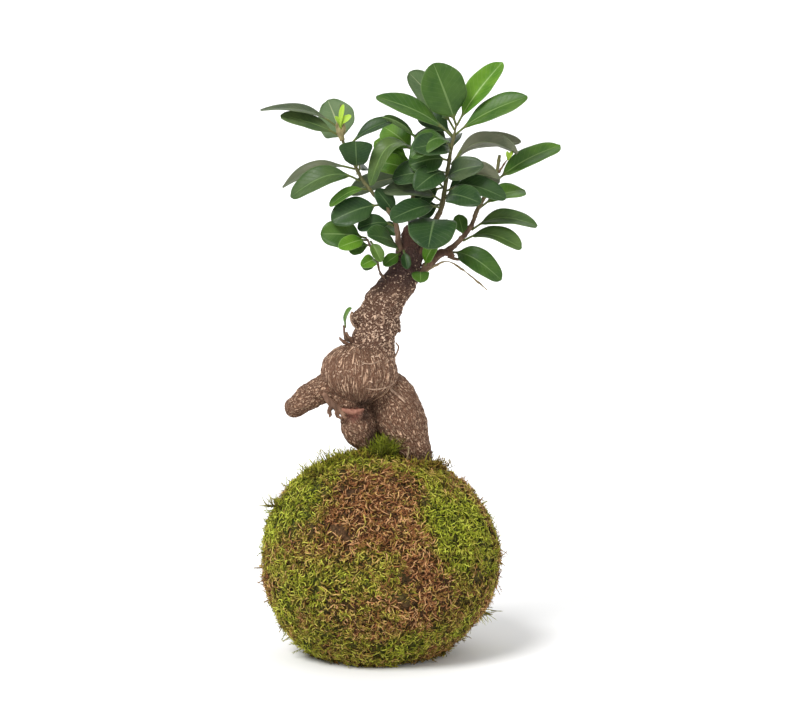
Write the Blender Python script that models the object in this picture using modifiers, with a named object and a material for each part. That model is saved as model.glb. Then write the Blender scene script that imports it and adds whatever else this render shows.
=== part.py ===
"""Moss ball plant: a small-leaved fig with a swollen rootstock, planted in a ball of soil that is
wrapped in sheets of moss.

Millimetres are used in the tables and turned into metres where the shapes are made. +Z is up, the
front is -Y, and the origin is the centre of the flat spot under the ball.
"""
import itertools
import math

import bmesh
import bpy
from mathutils import Matrix, Vector
from mathutils.bvhtree import BVHTree

MM = 0.001
GAP = 0.3  # clearance between pieces that touch

# The ball: one lumpy surface, and everything under it is measured inwards from it.
BALL_CENTRE = 55.0  # height of the widest level
BALL_WIDE = 66.0
BALL_UP = 57.0
BALL_DOWN = 64.0  # deeper than the centre is high, so that the ground cuts it off flat
MOSS_THICK = 8.5
FOOT_RADIUS = 35.0
SEGMENTS = 30
RINGS = 16

# Limbs of the rootstock, each a run of round sections: x, y, z, radius.
LIMBS = {
    "neck": [(-6, -1, 158, 15.5), (-4, 0, 169, 13), (-1.6, 0, 179, 11.2), (0.5, 0, 188, 11.2),
             (4.5, 0, 197, 10.4), (12, 0, 206, 9.2), (16, 0, 217, 8.2), (18.5, 0, 227, 6.7),
             (18.5, 0, 233, 5.4)],
    "thick_leg": [(0, 4, 151, 9.5), (5, 3, 147, 11), (9.5, 2, 139, 12.8), (12.5, 1, 130, 13.8),
                  (16.5, 0, 121, 11.4), (21, 0, 111, 8.8), (22.5, 1, 97, 6.5), (23, 1, 84, 3.2)],
    "small_leg": [(-12, 1, 147, 9), (-12, 0, 138, 7.2), (-10.8, -4, 127, 9.6),
                  (-6, -2, 116, 5.5), (-4, -1, 107, 3.8), (-5, 0, 92, 2.4)],
    "dark_strand": [(0, 4, 146, 7), (-1, 4, 132, 6), (-3, 3, 118, 4.6), (-2, 3, 105, 3.4),
                    (1, 4, 94, 2.2)],
    "nose": [(-19, -4, 151, 9), (-30, -6, 148, 7.6), (-38, -7, 143.5, 7), (-45.5, -8, 138, 5.6)],
    "left_knob": [(-5, 0, 185, 8), (-9.5, -1, 186, 5)],
    "right_knob": [(4, 0, 183, 8), (7, 0, 183, 5.6)],
}
BULB_AT = (-10.5, -3, 156.5)
BULB_RADII = (21.2, 18.5, 17)
TRUNK_VOXEL = 1.4
TRUNK_KEEP = 0.1  # share of the remeshed faces that stay

# Stems: x, y, z, radius along each one. The first point of each lies inside what it grows from.
STEMS = {
    "crown_shoot": [(16, 0, 219, 2.6), (25, -1, 231, 2.3), (33, -2, 243, 2.0),
                    (36, -2, 254, 1.8), (39.5, -1, 277, 1.4), (43, 0, 293, 1.1)],
    "right_branch": [(15, 0, 209, 3.2), (24, -1, 213, 3.0), (33, -1, 221, 2.6),
                     (39, 0, 224, 2.1), (45.5, 0, 230, 1.8), (51, 1, 237, 1.6),
                     (55, 2, 247, 1.5), (64, 2, 263, 1.3), (66.5, 2, 276, 1.1)],
    "left_branch": [(15, 0, 215, 2.4), (11.5, -6, 226, 2.2), (10, -7, 238, 1.9),
                    (5, -6, 246, 1.7), (-7, -4, 260, 1.5), (-11.5, -3, 268, 1.4),
                    (-19, -2, 283, 1.3), (-20.5, -2, 293, 1.2), (-20, -2, 303, 0.7)],
    "middle_shoot": [(18.5, 0, 228, 2.2), (18, 5, 240, 1.9), (19.5, 6, 257, 1.6),
                     (21, 5, 280, 1.2)],
    "low_shoot": [(11, 0, 206, 1.6), (2, -7, 210, 1.4), (-1, -9, 220, 1.2), (-7, -9, 232, 1.0)],
    "dry_stalk": [(24, -4, 210, 0.8), (31, -7, 215.5, 0.75), (38.5, -9, 218, 0.7),
                  (48, -9, 212, 0.65), (60, -8, 202, 0.6)],
    "side_sprout": [(-8, -1, 172, 1.4), (-16.5, -6, 175, 1.3), (-18.5, -7, 179, 1.0),
                    (-18.5, -7, 183, 0.8)],
}
STEM_STEPS = 3

# Leaves: stem, where the stalk leaves it (x, z), tip (x, y, z), width, lean, arch, fold.
# Lean 0 turns the upper face up, 90 to the front, and below 0 to the back.
LEAVES = {
    "leaf_33": ("crown_shoot", (32, 241), (27, -36, 226), 27, 40, 5, 12),
    "leaf_01": ("crown_shoot", (43, 291), (30, -7, 325), 25, 78, 3, 12),
    "leaf_02": ("crown_shoot", (42, 289), (17, 12, 321), 18, -55, 3, 18),
    "leaf_03": ("crown_shoot", (43, 292), (68, 6, 326), 16, 46, 3, 28),
    "leaf_04": ("crown_shoot", (42.5, 287), (81, -8, 307), 17, 42, 3, 16),
    "leaf_05": ("crown_shoot", (41.5, 286), (-1, -6, 307), 17, 38, 4, 16),
    "leaf_06": ("crown_shoot", (40.5, 282), (18, -18, 274), 15, 44, 8, 18),
    "leaf_07": ("crown_shoot", (38.5, 274), (17, -10, 270), 18, 62, 3, 16),
    "leaf_08": ("crown_shoot", (38.5, 271), (76, -6, 277), 14, -42, 12, 24),
    "leaf_09": ("crown_shoot", (38, 268), (79, 8, 283), 14, -40, 9, 20),
    "leaf_10": ("crown_shoot", (38, 265), (66, -14, 263), 15, -62, 3, 16),
    "leaf_11": ("crown_shoot", (36.5, 257), (69, -8, 252), 15, 48, 6, 20),
    "leaf_12": ("crown_shoot", (36, 253), (55, -24, 250), 15, 66, 4, 18),
    "leaf_13": ("right_branch", (55, 247), (81, 4, 256), 15, 36, 3, 16),
    "leaf_14": ("right_branch", (63, 261), (101, 8, 281), 16, 36, 3, 16),
    "leaf_15": ("right_branch", (50, 236), (87, -2, 237), 16, 32, 6, 16),
    "leaf_16": ("right_branch", (45.5, 230), (78, -10, 225), 15, 36, 6, 24),
    "leaf_17": ("right_branch", (39, 224), (67, -12, 208), 15, 58, 6, 18),
    "leaf_18": ("left_branch", (-20.3, 291), (-64, 0, 300), 12, 20, 5, 18),
    "leaf_19": ("left_branch", (-19.5, 286), (-53, -8, 297), 12, 44, 2, 16),
    "leaf_20": ("left_branch", (-19, 283), (-28, 14, 306), 22, -76, 3, 10),
    "leaf_21": ("left_branch", (-17, 279), (10, -3, 295), 11, 34, 3, 20),
    "leaf_22": ("left_branch", (-11.5, 268), (-12, -9, 283), 20, 80, 3, 26),
    "leaf_23": ("left_branch", (-12, 269), (-52, -2, 258), 12, 30, 6, 20),
    "leaf_24": ("left_branch", (-9, 263), (-47, -14, 253), 16, 46, 9, 16),
    "leaf_25": ("left_branch", (-5, 258), (-26, -16, 248), 8, 40, 3, 22),
    "leaf_26": ("middle_shoot", (20, 264), (-16, -3, 255), 13, -55, 4, 16),
    "leaf_27": ("middle_shoot", (21, 277), (3, 16, 291), 17, 62, 3, 14),
    "leaf_28": ("middle_shoot", (21, 280), (-4, -8, 259), 13, 30, 14, 18),
    "leaf_29": ("middle_shoot", (20, 266), (-1, 10, 272), 13, 70, 3, 14),
    "leaf_30": ("crown_shoot", (36.5, 259), (8, -25, 263), 18, 54, 8, 18),
    "leaf_31": ("crown_shoot", (35.5, 251), (3, -12, 256), 14, 40, 4, 16),
    "leaf_32": ("crown_shoot", (34.5, 248), (7, -21, 241), 15, 54, 4, 16),
    "leaf_34": ("left_branch", (2, 249), (-25, -18, 240), 17, 62, 3, 14),
    "leaf_35": ("left_branch", (10, 238), (-11, -16, 236), 12, 50, 3, 18),
    "leaf_36": ("low_shoot", (-6.5, 231), (-31, -14, 233), 18, 66, 2, 14),
    "leaf_37": ("low_shoot", (-6, 230), (-21, -20, 226), 9, 72, 2, 18),
    "leaf_38": ("left_branch", (12, 222), (-5, -25, 233), 15, 58, 3, 16),
    "leaf_39": ("low_shoot", (-1, 219), (-9, -20, 216), 8, 76, 2, 18),
    "leaf_40": ("right_branch", (23, 213), (23, -17, 207), 10, 64, 2, 14),
    "leaf_41": ("right_branch", (25, 213.5), (33, -16, 231), 9, 62, 2, 18),
    "leaf_42": ("crown_shoot", (39, 275), (40, 36, 284), 17, -70, 5, 16),
    "leaf_43": ("middle_shoot", (19, 254), (10, 40, 268), 17, -66, 6, 16),
    "leaf_44": ("left_branch", (-10, 266), (-20, 32, 276), 17, -66, 5, 16),
    "leaf_45": ("side_sprout", (-18.5, 182), (-14.5, -11, 193), 6, 24, 1, 20),
}
LEAF_THICK = 0.8
STALK_HALF = 0.6
# Share of the length, share of the half width: a stalk, a blade widest past its middle, a tip.
OUTLINE = [(0, 0), (0.10, 0), (0.18, 0.22), (0.30, 0.62), (0.45, 0.93), (0.62, 1.0),
           (0.79, 0.87), (0.92, 0.56), (1.0, 0)]
# Steps tried in turn until a leaf is clear: along the stem at its foot, then in depth at its tip.
SLIDES = [0, 2, -2, 4, -4]
DEPTHS = [0, -3, 3, -6, 6, -9, 9, -13, 13, -17, 17, -21, 21]

# Sheets of moss: the angles they run between, anticlockwise from the right seen from above, and
# whether they lie above the seam, below it or run past it.
SEAM = 63.0
SHEETS = {
    "moss_right": (-67, 52, "both"),
    "moss_back": (52, 148, "both"),
    "moss_shoulder": (148, 243, "above"),
    "moss_top": (243, 293, "above"),
    "moss_front": (148, 293, "below"),
}
EDGE_SWING = 4.0  # degrees that the edge of a sheet wanders


def clear_scene():
    for ob in list(bpy.data.objects):
        bpy.data.objects.remove(ob, do_unlink=True)


def new_collection(name):
    found = bpy.data.collections.get(name) or bpy.data.collections.new(name)
    if found.name not in bpy.context.scene.collection.children:
        bpy.context.scene.collection.children.link(found)
    return found


def make_material(name, colour, roughness):
    mat = bpy.data.materials.new(name)
    mat.use_nodes = True
    shader = mat.node_tree.nodes["Principled BSDF"]
    shader.inputs["Base Color"].default_value = (*colour, 1)
    shader.inputs["Roughness"].default_value = roughness
    shader.inputs["Metallic"].default_value = 0
    return mat


def add_object(name, bm, material, smooth=True, into=None):
    """Puts a bmesh that is in millimetres into the scene as an object in metres."""
    bmesh.ops.scale(bm, vec=(MM, MM, MM), verts=bm.verts)
    mesh = bpy.data.meshes.new(name)
    bm.to_mesh(mesh)
    bm.free()
    mesh.polygons.foreach_set("use_smooth", [smooth] * len(mesh.polygons))
    ob = bpy.data.objects.new(name, mesh)
    if material:
        mesh.materials.append(material)
    (into or plant).objects.link(ob)
    if into is cutters:
        ob.hide_render = True
        ob.display_type = "WIRE"
    return ob


def loft(bm, sections, from_first=False):
    """Joins closed sections of the same number of points and caps both ends.

    from_first splits the two sides that meet at the first points along lines from them, so that
    two blocks that share a twisted side match there.
    """
    rings = [[bm.verts.new(p) for p in section] for section in sections]
    count = len(rings[0])
    for low, high in zip(rings, rings[1:]):
        for i in range(count):
            j = (i + 1) % count
            if from_first and i == 0:
                bm.faces.new((low[i], low[j], high[j]))
                bm.faces.new((low[i], high[j], high[i]))
            elif from_first and j == 0:
                bm.faces.new((low[i], low[j], high[i]))
                bm.faces.new((low[j], high[j], high[i]))
            else:
                bm.faces.new((low[i], low[j], high[j], high[i]))
    bm.faces.new(rings[0][::-1])
    bm.faces.new(rings[-1])
    bmesh.ops.recalc_face_normals(bm, faces=bm.faces)


def cut(ob, cutter, operation):
    """Adds an exact Boolean of the given kind."""
    mod = ob.modifiers.new(cutter.name, "BOOLEAN")
    mod.operation = operation
    mod.solver = "EXACT"
    mod.object = cutter
    return mod


def smooth_run(points, steps):
    """Points of a smooth run through x, y, z, radius rows (Catmull-Rom)."""
    rows = [Vector(p) for p in points]
    rows = [2 * rows[0] - rows[1], *rows, 2 * rows[-1] - rows[-2]]
    run = []
    for a, b, c, d in zip(rows, rows[1:], rows[2:], rows[3:]):
        for k in range(steps):
            t = k / steps
            run.append(0.5 * (2 * b + (c - a) * t + (2 * a - 5 * b + 4 * c - d) * t * t
                              + (3 * b - a - 3 * c + d) * t ** 3))
    return run + [rows[-2]]


# ---------------------------------------------------------------- the ball

def lump(direction):
    """How far the ball's surface stands out of a plain ellipsoid, in millimetres."""
    x, y, z = direction
    swell = 1.7 * math.sin(2.6 * x + 1.1) * math.cos(2.3 * y - 0.4)
    swell += 1.2 * math.sin(4.1 * z + 2.2 * x) * math.cos(3.7 * y + 0.8)
    swell += 0.8 * math.sin(7.3 * x - 5.9 * y + 2.0 * z)
    return swell


def ball(depth, floor):
    """The ball's surface taken in by a depth and cut off flat at a floor."""
    bm = bmesh.new()
    bmesh.ops.create_uvsphere(bm, u_segments=SEGMENTS, v_segments=RINGS, radius=1)
    for v in bm.verts:
        way = v.co.normalized()
        high = BALL_UP if way.z > 0 else BALL_DOWN
        shell = Vector((way.x * BALL_WIDE, way.y * BALL_WIDE, way.z * high))
        v.co = shell * (1 + (lump(way) - depth) / shell.length)
        v.co.z += BALL_CENTRE
    low = [v for v in bm.verts if v.co.z < floor]
    for v in low:
        v.co.z = floor
    bottom = [f for f in bm.faces if all(v.co.z <= floor for v in f.verts)]
    bmesh.ops.dissolve_faces(bm, faces=bottom, use_verts=True)
    # Every depth is split along the same diagonals, so that the clearance is the same all over.
    quads = [f for f in bm.faces if len(f.verts) == 4]
    bmesh.ops.triangulate(bm, faces=quads, quad_method="FIXED")
    return bm


def wander(angle, z):
    """Degrees by which the upright edge at an angle strays at a height."""
    return EDGE_SWING * math.sin(z / 13 + 3 * math.radians(angle))


def wedge(name, start, end, gap):
    """A block between two wandering upright edges that meet at the middle of the ball."""
    bm = bmesh.new()
    reach = 110.0
    inset = math.degrees(gap / 2 / 40)
    middle = math.radians((start + end) / 2)
    heel = gap / 2 / math.sin(math.radians((end - start) / 2))
    sections = []
    for k in range(9):
        z = -12 + k * 17.5
        first = start + wander(start, z) + inset
        last = end + wander(end, z) - inset
        fan = [first + (last - first) * i / 4 for i in range(5)]
        rim = [(reach * math.cos(math.radians(a)), reach * math.sin(math.radians(a)), z)
               for a in fan]
        sections.append([(heel * math.cos(middle), heel * math.sin(middle), z), *rim])
    loft(bm, sections, from_first=True)
    return add_object(name, bm, None, into=cutters)


def below_seam(name, raise_by):
    """Everything under the wavy seam across the ball."""
    bm = bmesh.new()
    bmesh.ops.create_grid(bm, x_segments=20, y_segments=20, size=100)
    for v in bm.verts:
        v.co.z = SEAM + raise_by + 3.2 * math.sin(v.co.x / 11) + 2.0 * math.cos(v.co.y / 9)
    top = bm.faces[:]
    grown = bmesh.ops.extrude_face_region(bm, geom=top)
    for v in grown["geom"]:
        if isinstance(v, bmesh.types.BMVert):
            v.co.z = -20
    bmesh.ops.recalc_face_normals(bm, faces=bm.faces)
    return add_object(name, bm, None, into=cutters)


def foot_plug(name, gap):
    """The round, slightly wavy outline of the sheet under the ball."""
    bm = bmesh.new()
    sections = []
    for z, grow in ((-15, 0), (4, 0), (MOSS_THICK + 6 + gap, 3)):
        ring = []
        for i in range(24):
            a = math.tau * i / 24
            r = FOOT_RADIUS + gap + grow + 1.2 * math.sin(5 * a)
            ring.append((r * math.cos(a), r * math.sin(a), z))
        sections.append(ring)
    loft(bm, sections)
    return add_object(name, bm, None, into=cutters)


def add_ball(trunk_room):
    hollow = add_object("hollow", ball(MOSS_THICK, MOSS_THICK), None, into=cutters)
    low = below_seam("below_seam", 0)
    lower = below_seam("below_seam_cut", -GAP)
    plug = foot_plug("foot_plug", GAP)
    plug_cut = foot_plug("foot_plug_cut", 0)
    for name, (start, end, where) in SHEETS.items():
        ob = add_object(name, ball(0, 0), green_moss)
        cut(ob, hollow, "DIFFERENCE")
        if where != "above":
            cut(ob, plug, "DIFFERENCE")
        cut(ob, wedge(name + "_wedge", start, end, GAP), "INTERSECT")
        if where == "above":
            cut(ob, low, "DIFFERENCE")
        if where == "below":
            cut(ob, lower, "INTERSECT")
        if where != "below":
            cut(ob, trunk_room, "DIFFERENCE")
    base = add_object("moss_base", ball(0, 0), brown_moss)
    cut(base, hollow, "DIFFERENCE")
    cut(base, plug_cut, "INTERSECT")
    bpy.data.objects["moss_top"].data.materials[0] = brown_moss
    core = add_object("soil_core", ball(MOSS_THICK + GAP, MOSS_THICK + GAP), soil)
    cut(core, trunk_room, "DIFFERENCE")


# ---------------------------------------------------------------- wood

def add_trunk():
    """The rootstock: runs of balls melted into one grown body."""
    bm = bmesh.new()
    for rows in LIMBS.values():
        for x, y, z, r in smooth_run(rows, 8):
            bmesh.ops.create_uvsphere(bm, u_segments=12, v_segments=8, radius=r,
                                      matrix=Matrix.Translation((x, y, z)))
    bulb = Matrix.Translation(BULB_AT) @ Matrix.Diagonal((*BULB_RADII, 1))
    bmesh.ops.create_uvsphere(bm, u_segments=24, v_segments=16, radius=1, matrix=bulb)
    rough = add_object("rootstock_rough", bm, None, into=cutters)
    melt = rough.modifiers.new("melt", "REMESH")
    melt.mode = "VOXEL"
    melt.voxel_size = TRUNK_VOXEL * MM
    even = rough.modifiers.new("even", "SMOOTH")
    even.factor = 0.5
    even.iterations = 5
    thin = rough.modifiers.new("thin", "DECIMATE")
    thin.ratio = TRUNK_KEEP
    mesh = evaluated(rough)
    bpy.data.objects.remove(rough, do_unlink=True)
    mesh.name = "rootstock"
    mesh.materials.clear()
    mesh.materials.append(bark)
    mesh.polygons.foreach_set("use_smooth", [True] * len(mesh.polygons))
    trunk = bpy.data.objects.new("rootstock", mesh)
    plant.objects.link(trunk)
    return trunk


def evaluated(ob):
    graph = bpy.context.evaluated_depsgraph_get()
    graph.update()
    return bpy.data.meshes.new_from_object(ob.evaluated_get(graph))


def swollen(name, mesh, by):
    """A copy of a mesh with every corner moved out along its normal."""
    bm = bmesh.new()
    bm.from_mesh(mesh)
    bm.normal_update()
    moves = [v.normal * by * MM for v in bm.verts]
    for v, move in zip(bm.verts, moves):
        v.co += move
    bmesh.ops.scale(bm, vec=(1 / MM,) * 3, verts=bm.verts)
    return add_object(name, bm, None, into=cutters)


def add_stem(name, rows, trunk_room):
    """A tapering round stem, cut to seat on the rootstock."""
    curve = bpy.data.curves.new(name, "CURVE")
    curve.dimensions = "3D"
    curve.bevel_depth = MM
    curve.bevel_resolution = 1
    curve.use_fill_caps = True
    run = smooth_run(rows, STEM_STEPS)
    spline = curve.splines.new("POLY")
    spline.points.add(len(run) - 1)
    for point, row in zip(spline.points, run):
        point.co = (row[0] * MM, row[1] * MM, row[2] * MM, 1)
        point.radius = row[3]
    ob = bpy.data.objects.new(name + "_curve", curve)
    plant.objects.link(ob)
    mesh = evaluated(ob)
    bpy.data.objects.remove(ob, do_unlink=True)
    bm = bmesh.new()
    bm.from_mesh(mesh)
    bmesh.ops.remove_doubles(bm, verts=bm.verts, dist=1e-6)
    bmesh.ops.recalc_face_normals(bm, faces=bm.faces)
    bmesh.ops.scale(bm, vec=(1 / MM,) * 3, verts=bm.verts)
    stem = add_object(name, bm, dry_bark if name == "dry_stalk" else twig_bark)
    cut(stem, trunk_room, "DIFFERENCE")
    return stem


# ---------------------------------------------------------------- leaves

def stem_place(stem, x, z):
    """The point of a stem's run nearest to x, z seen from the front, and its radius there."""
    run = smooth_run(STEMS[stem], 12)
    near = min(run, key=lambda p: (p[0] - x) ** 2 + (p[2] - z) ** 2)
    return Vector(near[:3]), near[3]


def leaf_sections(base, tip, width, lean, arch, fold, thick):
    """Six-cornered sections of a leaf: a stalk and a blade folded along its midrib."""
    chord = tip - base
    length = chord.length
    along = chord.normalized()
    lean = math.radians(lean)
    up = Vector((0, -math.sin(lean), math.cos(lean)))
    up = (up - up.dot(along) * along).normalized()
    sections = []
    for share, wide in OUTLINE:
        rise = arch * math.sin(math.pi * share ** 0.85)
        slope = (arch * math.pi * math.cos(math.pi * share ** 0.85)) / length
        centre = base + chord * share + up * rise
        way = (along + up * slope).normalized()
        side = way.cross(up).normalized()
        top = side.cross(way).normalized()
        half = max(width / 2 * wide, STALK_HALF)
        bend = math.radians(fold) * min(1, wide * 1.4)
        out = side * math.cos(bend) * half
        lift = top * math.sin(bend) * half
        deep = top * thick / 2
        sections.append([centre - out + lift + deep, centre + deep, centre + out + lift + deep,
                         centre + out + lift - deep, centre - deep, centre - out + lift - deep])
    return sections


def tree_of(sections):
    bm = bmesh.new()
    loft(bm, sections)
    tree = BVHTree.FromBMesh(bm)
    bm.free()
    return tree


def add_leaves(wood):
    """Places each leaf, sliding its foot and moving its tip until it is clear of the others."""
    placed = []
    for name, (stem, (x, z), tip, width, lean, arch, fold) in LEAVES.items():
        for slide, depth in itertools.product(SLIDES, DEPTHS):
            root, radius = stem_place(stem, x, z + slide)
            end = Vector(tip) + Vector((0, depth, 0))
            base = root + (end - root).normalized() * (radius + 0.9)
            rows = leaf_sections(base, end, width, lean, arch, fold, LEAF_THICK)
            thick = tree_of(leaf_sections(base, end, width, lean, arch, fold, LEAF_THICK * 2))
            clear = not any(thick.overlap(other) for other in placed)
            real = tree_of(rows)
            if clear and not any(real.overlap(other) for other in wood):
                break
        else:
            print("no clear place for", name)
        placed.append(thick)
        bm = bmesh.new()
        loft(bm, rows)
        add_object(name, bm, bright_leaf if lean > 64 else dark_leaf)


def wood_trees(objects):
    """Search trees of the wood in millimetres."""
    trees = []
    for ob in objects:
        bm = bmesh.new()
        bm.from_mesh(evaluated(ob))
        bmesh.ops.scale(bm, vec=(1 / MM,) * 3, verts=bm.verts)
        trees.append(BVHTree.FromBMesh(bm))
        bm.free()
    return trees


clear_scene()
plant = new_collection("moss_ball_plant")
cutters = new_collection("cutters")
bark = make_material("bark", (0.25, 0.16, 0.10), 0.75)
twig_bark = make_material("twig_bark", (0.16, 0.11, 0.06), 0.7)
dry_bark = make_material("dry_bark", (0.40, 0.28, 0.17), 0.8)
dark_leaf = make_material("dark_leaf", (0.04, 0.12, 0.04), 0.35)
bright_leaf = make_material("bright_leaf", (0.14, 0.30, 0.05), 0.4)
green_moss = make_material("green_moss", (0.16, 0.20, 0.04), 0.95)
brown_moss = make_material("brown_moss", (0.20, 0.13, 0.06), 0.95)
soil = make_material("soil", (0.06, 0.04, 0.03), 0.95)

trunk_ob = add_trunk()
room = swollen("trunk_room", trunk_ob.data, GAP + 0.1)
stem_obs = [add_stem(name, rows, room) for name, rows in STEMS.items()]
add_ball(room)
add_leaves(wood_trees([trunk_ob, *stem_obs]))
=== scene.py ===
"""Looks for the moss ball plant: bark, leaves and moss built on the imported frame."""
import math

import bmesh
import bpy
import numpy as np
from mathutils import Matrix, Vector, noise
from mathutils.bvhtree import BVHTree


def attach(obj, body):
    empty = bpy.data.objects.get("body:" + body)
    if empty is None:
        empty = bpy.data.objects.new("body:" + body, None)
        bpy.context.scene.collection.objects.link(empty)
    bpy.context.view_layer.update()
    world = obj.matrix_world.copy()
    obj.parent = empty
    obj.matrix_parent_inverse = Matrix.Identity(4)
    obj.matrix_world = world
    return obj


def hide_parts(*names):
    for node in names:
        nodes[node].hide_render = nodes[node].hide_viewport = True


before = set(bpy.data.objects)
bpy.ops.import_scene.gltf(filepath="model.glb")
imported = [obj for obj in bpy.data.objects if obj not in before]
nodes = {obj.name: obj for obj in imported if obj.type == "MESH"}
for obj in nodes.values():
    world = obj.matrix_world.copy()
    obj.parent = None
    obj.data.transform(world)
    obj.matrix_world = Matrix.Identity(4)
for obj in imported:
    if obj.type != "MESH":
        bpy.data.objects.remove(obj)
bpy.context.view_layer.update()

MM = 0.001
BARK_VOXEL = 0.46 * MM
FLECKS = 1500
FLECK_SIDES = 7
MAT_VOXEL = 1.2 * MM
# Strands in a tussock, its reach, and how many mm2 of sheet one strand has.
TUSSOCK = 14
TUSSOCK_REACH = 2.3 * MM
STRAND_AREA = 0.62
STRAND_AREA_BELOW = 3
rng = np.random.default_rng(11)
BALL_MIDDLE = Vector((0, 0, 0.055))


# ---- meshes

def welded(name):
    """A node's mesh with its corners joined."""
    bm = bmesh.new()
    bm.from_mesh(nodes[name].data)
    bmesh.ops.remove_doubles(bm, verts=bm.verts, dist=2e-6)
    return bm


def tree_of(names):
    """One search tree over several nodes."""
    bm = bmesh.new()
    for name in names:
        bm.from_mesh(nodes[name].data)
    tree = BVHTree.FromBMesh(bm)
    bm.free()
    return tree


def link(name, mesh):
    ob = bpy.data.objects.new(name, mesh)
    bpy.context.scene.collection.objects.link(ob)
    return ob


def fast_mesh(name, verts, quads, tris):
    """A mesh from arrays of points, four-cornered faces and three-cornered faces."""
    mesh = bpy.data.meshes.new(name)
    mesh.vertices.add(len(verts))
    mesh.vertices.foreach_set("co", np.asarray(verts, np.float32).ravel())
    corners = np.concatenate([np.ravel(quads), np.ravel(tris)]).astype(np.int32)
    starts = np.concatenate([np.arange(len(quads)) * 4,
                             len(quads) * 4 + np.arange(len(tris)) * 3]).astype(np.int32)
    mesh.loops.add(len(corners))
    mesh.loops.foreach_set("vertex_index", corners)
    mesh.polygons.add(len(starts))
    mesh.polygons.foreach_set("loop_start", starts)
    mesh.update(calc_edges=True)
    mesh.polygons.foreach_set("use_smooth", np.ones(len(starts), bool))
    return mesh


def paint(mesh, name, values):
    """Stores a number on each corner point of a mesh."""
    layer = mesh.attributes.new(name, "FLOAT", "POINT")
    layer.data.foreach_set("value", np.asarray(values, np.float32))


def points_of(mesh):
    co = np.empty(len(mesh.vertices) * 3, np.float32)
    mesh.vertices.foreach_get("co", co)
    return co.reshape(-1, 3).astype(float)


def put_points(mesh, co):
    mesh.vertices.foreach_set("co", co.astype(np.float32).ravel())
    mesh.update()


def normals_of(mesh):
    out = np.empty(len(mesh.vertices) * 3, np.float32)
    mesh.vertex_normals.foreach_get("vector", out)
    return out.reshape(-1, 3).astype(float)


def evaluated(ob):
    graph = bpy.context.evaluated_depsgraph_get()
    graph.update()
    return bpy.data.meshes.new_from_object(ob.evaluated_get(graph))


def remeshed(name, bm, voxel, smooth):
    """A closed even mesh over a rough one."""
    rough = bpy.data.meshes.new(name)
    bm.to_mesh(rough)
    bm.free()
    ob = link(name, rough)
    melt = ob.modifiers.new("melt", "REMESH")
    melt.mode = "VOXEL"
    melt.voxel_size = voxel
    even = ob.modifiers.new("even", "SMOOTH")
    even.factor = 0.5
    even.iterations = smooth
    mesh = evaluated(ob)
    bpy.data.objects.remove(ob, do_unlink=True)
    mesh.polygons.foreach_set("use_smooth", [True] * len(mesh.polygons))
    return mesh


def unit(rows):
    """Each row of an array at length 1."""
    return rows / np.linalg.norm(rows, axis=1)[:, None]


def noise_at(points, octaves=3):
    return np.array([noise.fractal(v, 0.6, 2.1, octaves) for v in points.tolist()])


def fractal(points, scale, octaves=3, stretch=(1, 1, 1), seed=0):
    """Smooth noise from about -1 to 1 at each point, with points in metres and scale in mm."""
    return noise_at(points * np.array(stretch) / (scale * MM) + seed, octaves)


def blend_rows(rows, at):
    """Rows read smoothly (Catmull-Rom) at fractions of their own count."""
    rows = np.vstack([2 * rows[0] - rows[1], rows, 2 * rows[-1] - rows[-2]])
    i = np.clip(at.astype(int), 0, len(rows) - 4)
    t = (at - i)[:, None]
    a, b, c, d = rows[i], rows[i + 1], rows[i + 2], rows[i + 3]
    return 0.5 * (2 * b + (c - a) * t + (2 * a - 5 * b + 4 * c - d) * t * t
                  + (3 * b - a - 3 * c + d) * t ** 3)


def smooth_run(rows, steps):
    """Points of a smooth run through rows of numbers."""
    rows = np.asarray(rows, float)
    spans = len(rows) - 1
    return blend_rows(rows, np.arange(spans * steps + 1) / steps)


# ---- materials

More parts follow.
